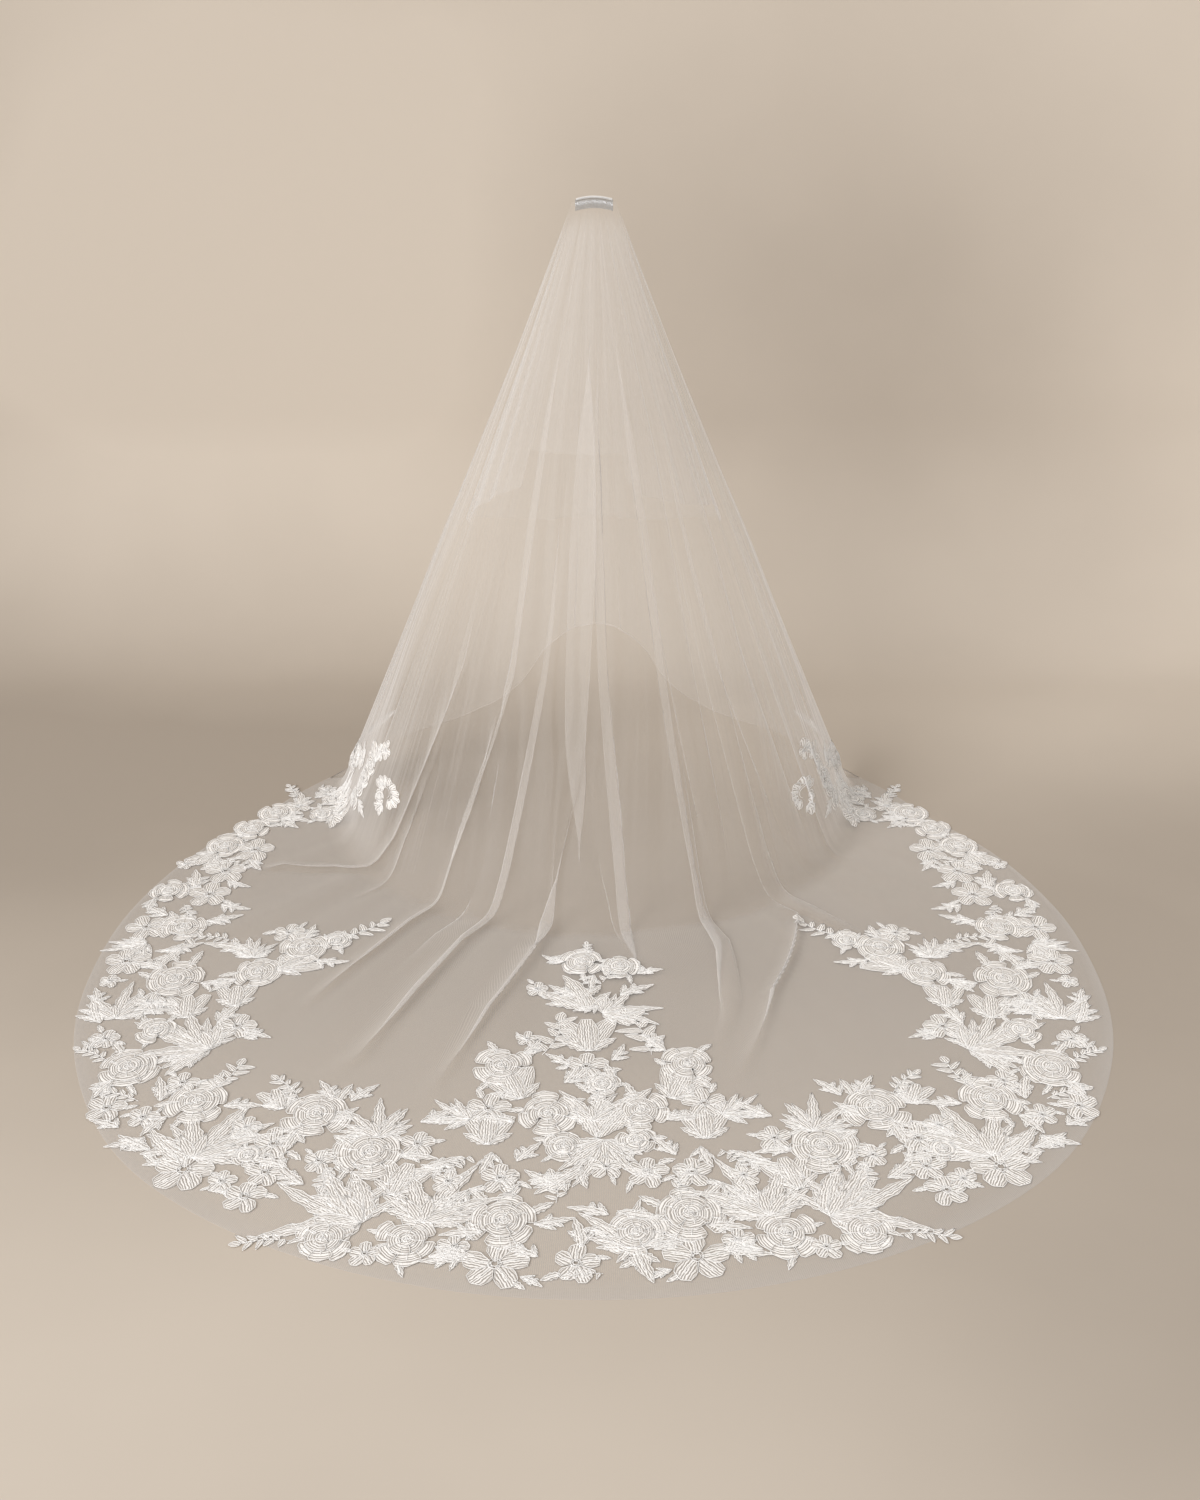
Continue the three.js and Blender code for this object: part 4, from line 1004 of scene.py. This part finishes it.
def make_applique(label, basket, mirror, shift, laying):
    def placed(points):
        moved = np.array(points)
        if mirror:
            moved[:, 0] = -moved[:, 0]
        moved[:, :2] += np.array(shift) / 1000
        return laying(moved)

    fill_points = placed(basket.points)
    faces = [f[::-1] if mirror else f for f in basket.faces]
    cords = [placed(c) for c in basket.cords]
    tube_points, tube_faces = tubes(lace_tubes, cords, CORD_RADIUS, CORD_SIDES)
    offset = len(fill_points)
    all_faces = faces + [tuple(i + offset for i in f) for f in tube_faces]
    slots = [0] * len(faces) + [1] * len(tube_faces)
    piece = new_piece("corded_" + label, np.concatenate([fill_points, tube_points]), all_faces,
                      [lace_fill, lace_cord], slots)
    marks = np.zeros((len(piece.data.vertices), 3), dtype=np.float32)
    marks[:offset] = np.array(basket.marks)
    layer = piece.data.attributes.new("marks", "FLOAT_VECTOR", "POINT")
    layer.data.foreach_set("vector", marks.ravel())
    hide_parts("lace_" + label)
    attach(piece, "root")
    return piece


for group, places in LACE.items():
    basket = fill_basket(places)
    for side, mirror, shift in (("left", False, (0, 0)), ("right", True, DRIFT[group])):
        make_applique(f"{group}_{side}", basket, mirror, shift, lay_flat)
for group, places in LACE_MIDDLE.items():
    make_applique(group, fill_basket(places), False, (0, 0), lay_flat)
for group, places in LACE_HUNG.items():
    angle, row, wider = HUNG_AT[group]
    basket = fill_basket(places, wider)
    for side, sign in (("left", -1), ("right", 1)):
        make_applique(f"{group}_{side}", basket, sign > 0, (0, 0),
                                       hang_on(angle, row, sign))

# %% [markdown]
# ## The comb
#
# A wire veil comb: a rail of three wires with a binding wire wound round them, and teeth
# that are long hairpins of the same wire, one hairpin set out by Geometry Nodes. The CAD's
# comb is right in size but square. Small stitches hold the tulle to the rail.

# %% Silver plated wire
silver, tree = new_material("Silver plated wire")
coords = add_node(tree, "ShaderNodeTexCoord").outputs["Object"]
worn = remap(tree, noise(tree, coords, 700.0, 3), 0.3, 0.7, 0.2, 0.36)
plate = add_node(tree, "ShaderNodeBsdfPrincipled", {"Base Color": linear("b2b7bd"), "Metallic": 1.0,
                                                    "Roughness": worn})
add_node(tree, "ShaderNodeOutputMaterial", {"Surface": plate})


# %% Teeth set out along the rail
TEETH = 20
WIRE = 0.0007
WIRE_SIDES = 8
BINDING = 0.0003
BINDING_TURNS = 36
PITCH = (COMB_WIDTH - 0.004) / (TEETH - 1)
half_turn = np.linspace(0, math.pi, 7)


def arch_up(points):
    """The rail is bent to the head: its middle stands 7 mm above its ends."""
    bent = np.array(points, dtype=float)
    bent[..., 2] += 0.002 + 0.007 * (1 - (bent[..., 0] / (COMB_WIDTH / 2)) ** 2)
    return bent


hairpin = ([(-0.0012, 0, -RAIL_HEIGHT + 0.003), (-0.0012, 0, -0.020)]
           + [(-0.0012 * math.cos(a), 0, -0.0265 - 0.0012 * math.sin(a)) for a in half_turn]
           + [(0.0012, 0, -0.020), (0.0012, 0, -RAIL_HEIGHT + 0.003)])
wire_tubes = tube_tree("Round wire along paths", silver)
parts = [tubes(wire_tubes, [hairpin], WIRE, WIRE_SIDES, TEETH,
               (-PITCH * (TEETH - 1) / 2, 0.0, 0.0), (PITCH, 0.0, 0.0))]
xs = np.linspace(-COMB_WIDTH / 2 + 0.001, COMB_WIDTH / 2 - 0.001, 30)
rails = [together(xs, y, z) for y, z in ((-0.0008, -0.0017), (0.0008, -0.0017), (0, -0.0034))]
turns = np.linspace(0, BINDING_TURNS * 2 * math.pi, BINDING_TURNS * 9)
coil = together(np.linspace(-0.0435, 0.0435, len(turns)), 0.00145 * np.cos(turns),
                -0.0024 + 0.0019 * np.sin(turns))
parts.append(tubes(wire_tubes, rails, WIRE, WIRE_SIDES))
parts.append(tubes(wire_tubes, [coil], BINDING, 5))


def join_parts(name, parts, material):
    points, faces = [], []
    for part_points, part_faces in parts:
        offset = sum(len(p) for p in points)
        points.append(arch_up(part_points))
        faces.extend(tuple(i + offset for i in f) for f in part_faces)
    return new_piece(name, np.concatenate(points), faces, [material])


wire_comb = join_parts("wire_comb", parts, silver)
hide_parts("comb")
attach(wire_comb, "root")
print("comb faces", len(wire_comb.data.polygons))

# %% Stitches that hold the gathered tulle on the rail
STITCHES = 44
STITCHED = 0.085
THREAD = 0.0006
ring_turn = np.linspace(0, 2 * math.pi, 9)
stitch = [(0.0, 0.0045 * math.cos(a), -0.002 + 0.0026 * math.sin(a)) for a in ring_turn]
parts = [tubes(lace_tubes, [stitch], THREAD, WIRE_SIDES, STITCHES, (-STITCHED / 2, 0.0, 0.0),
               (STITCHED / (STITCHES - 1), 0.0, 0.0))]
stitches = join_parts("gather_stitches", parts, lace_cord)
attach(stitches, "root")
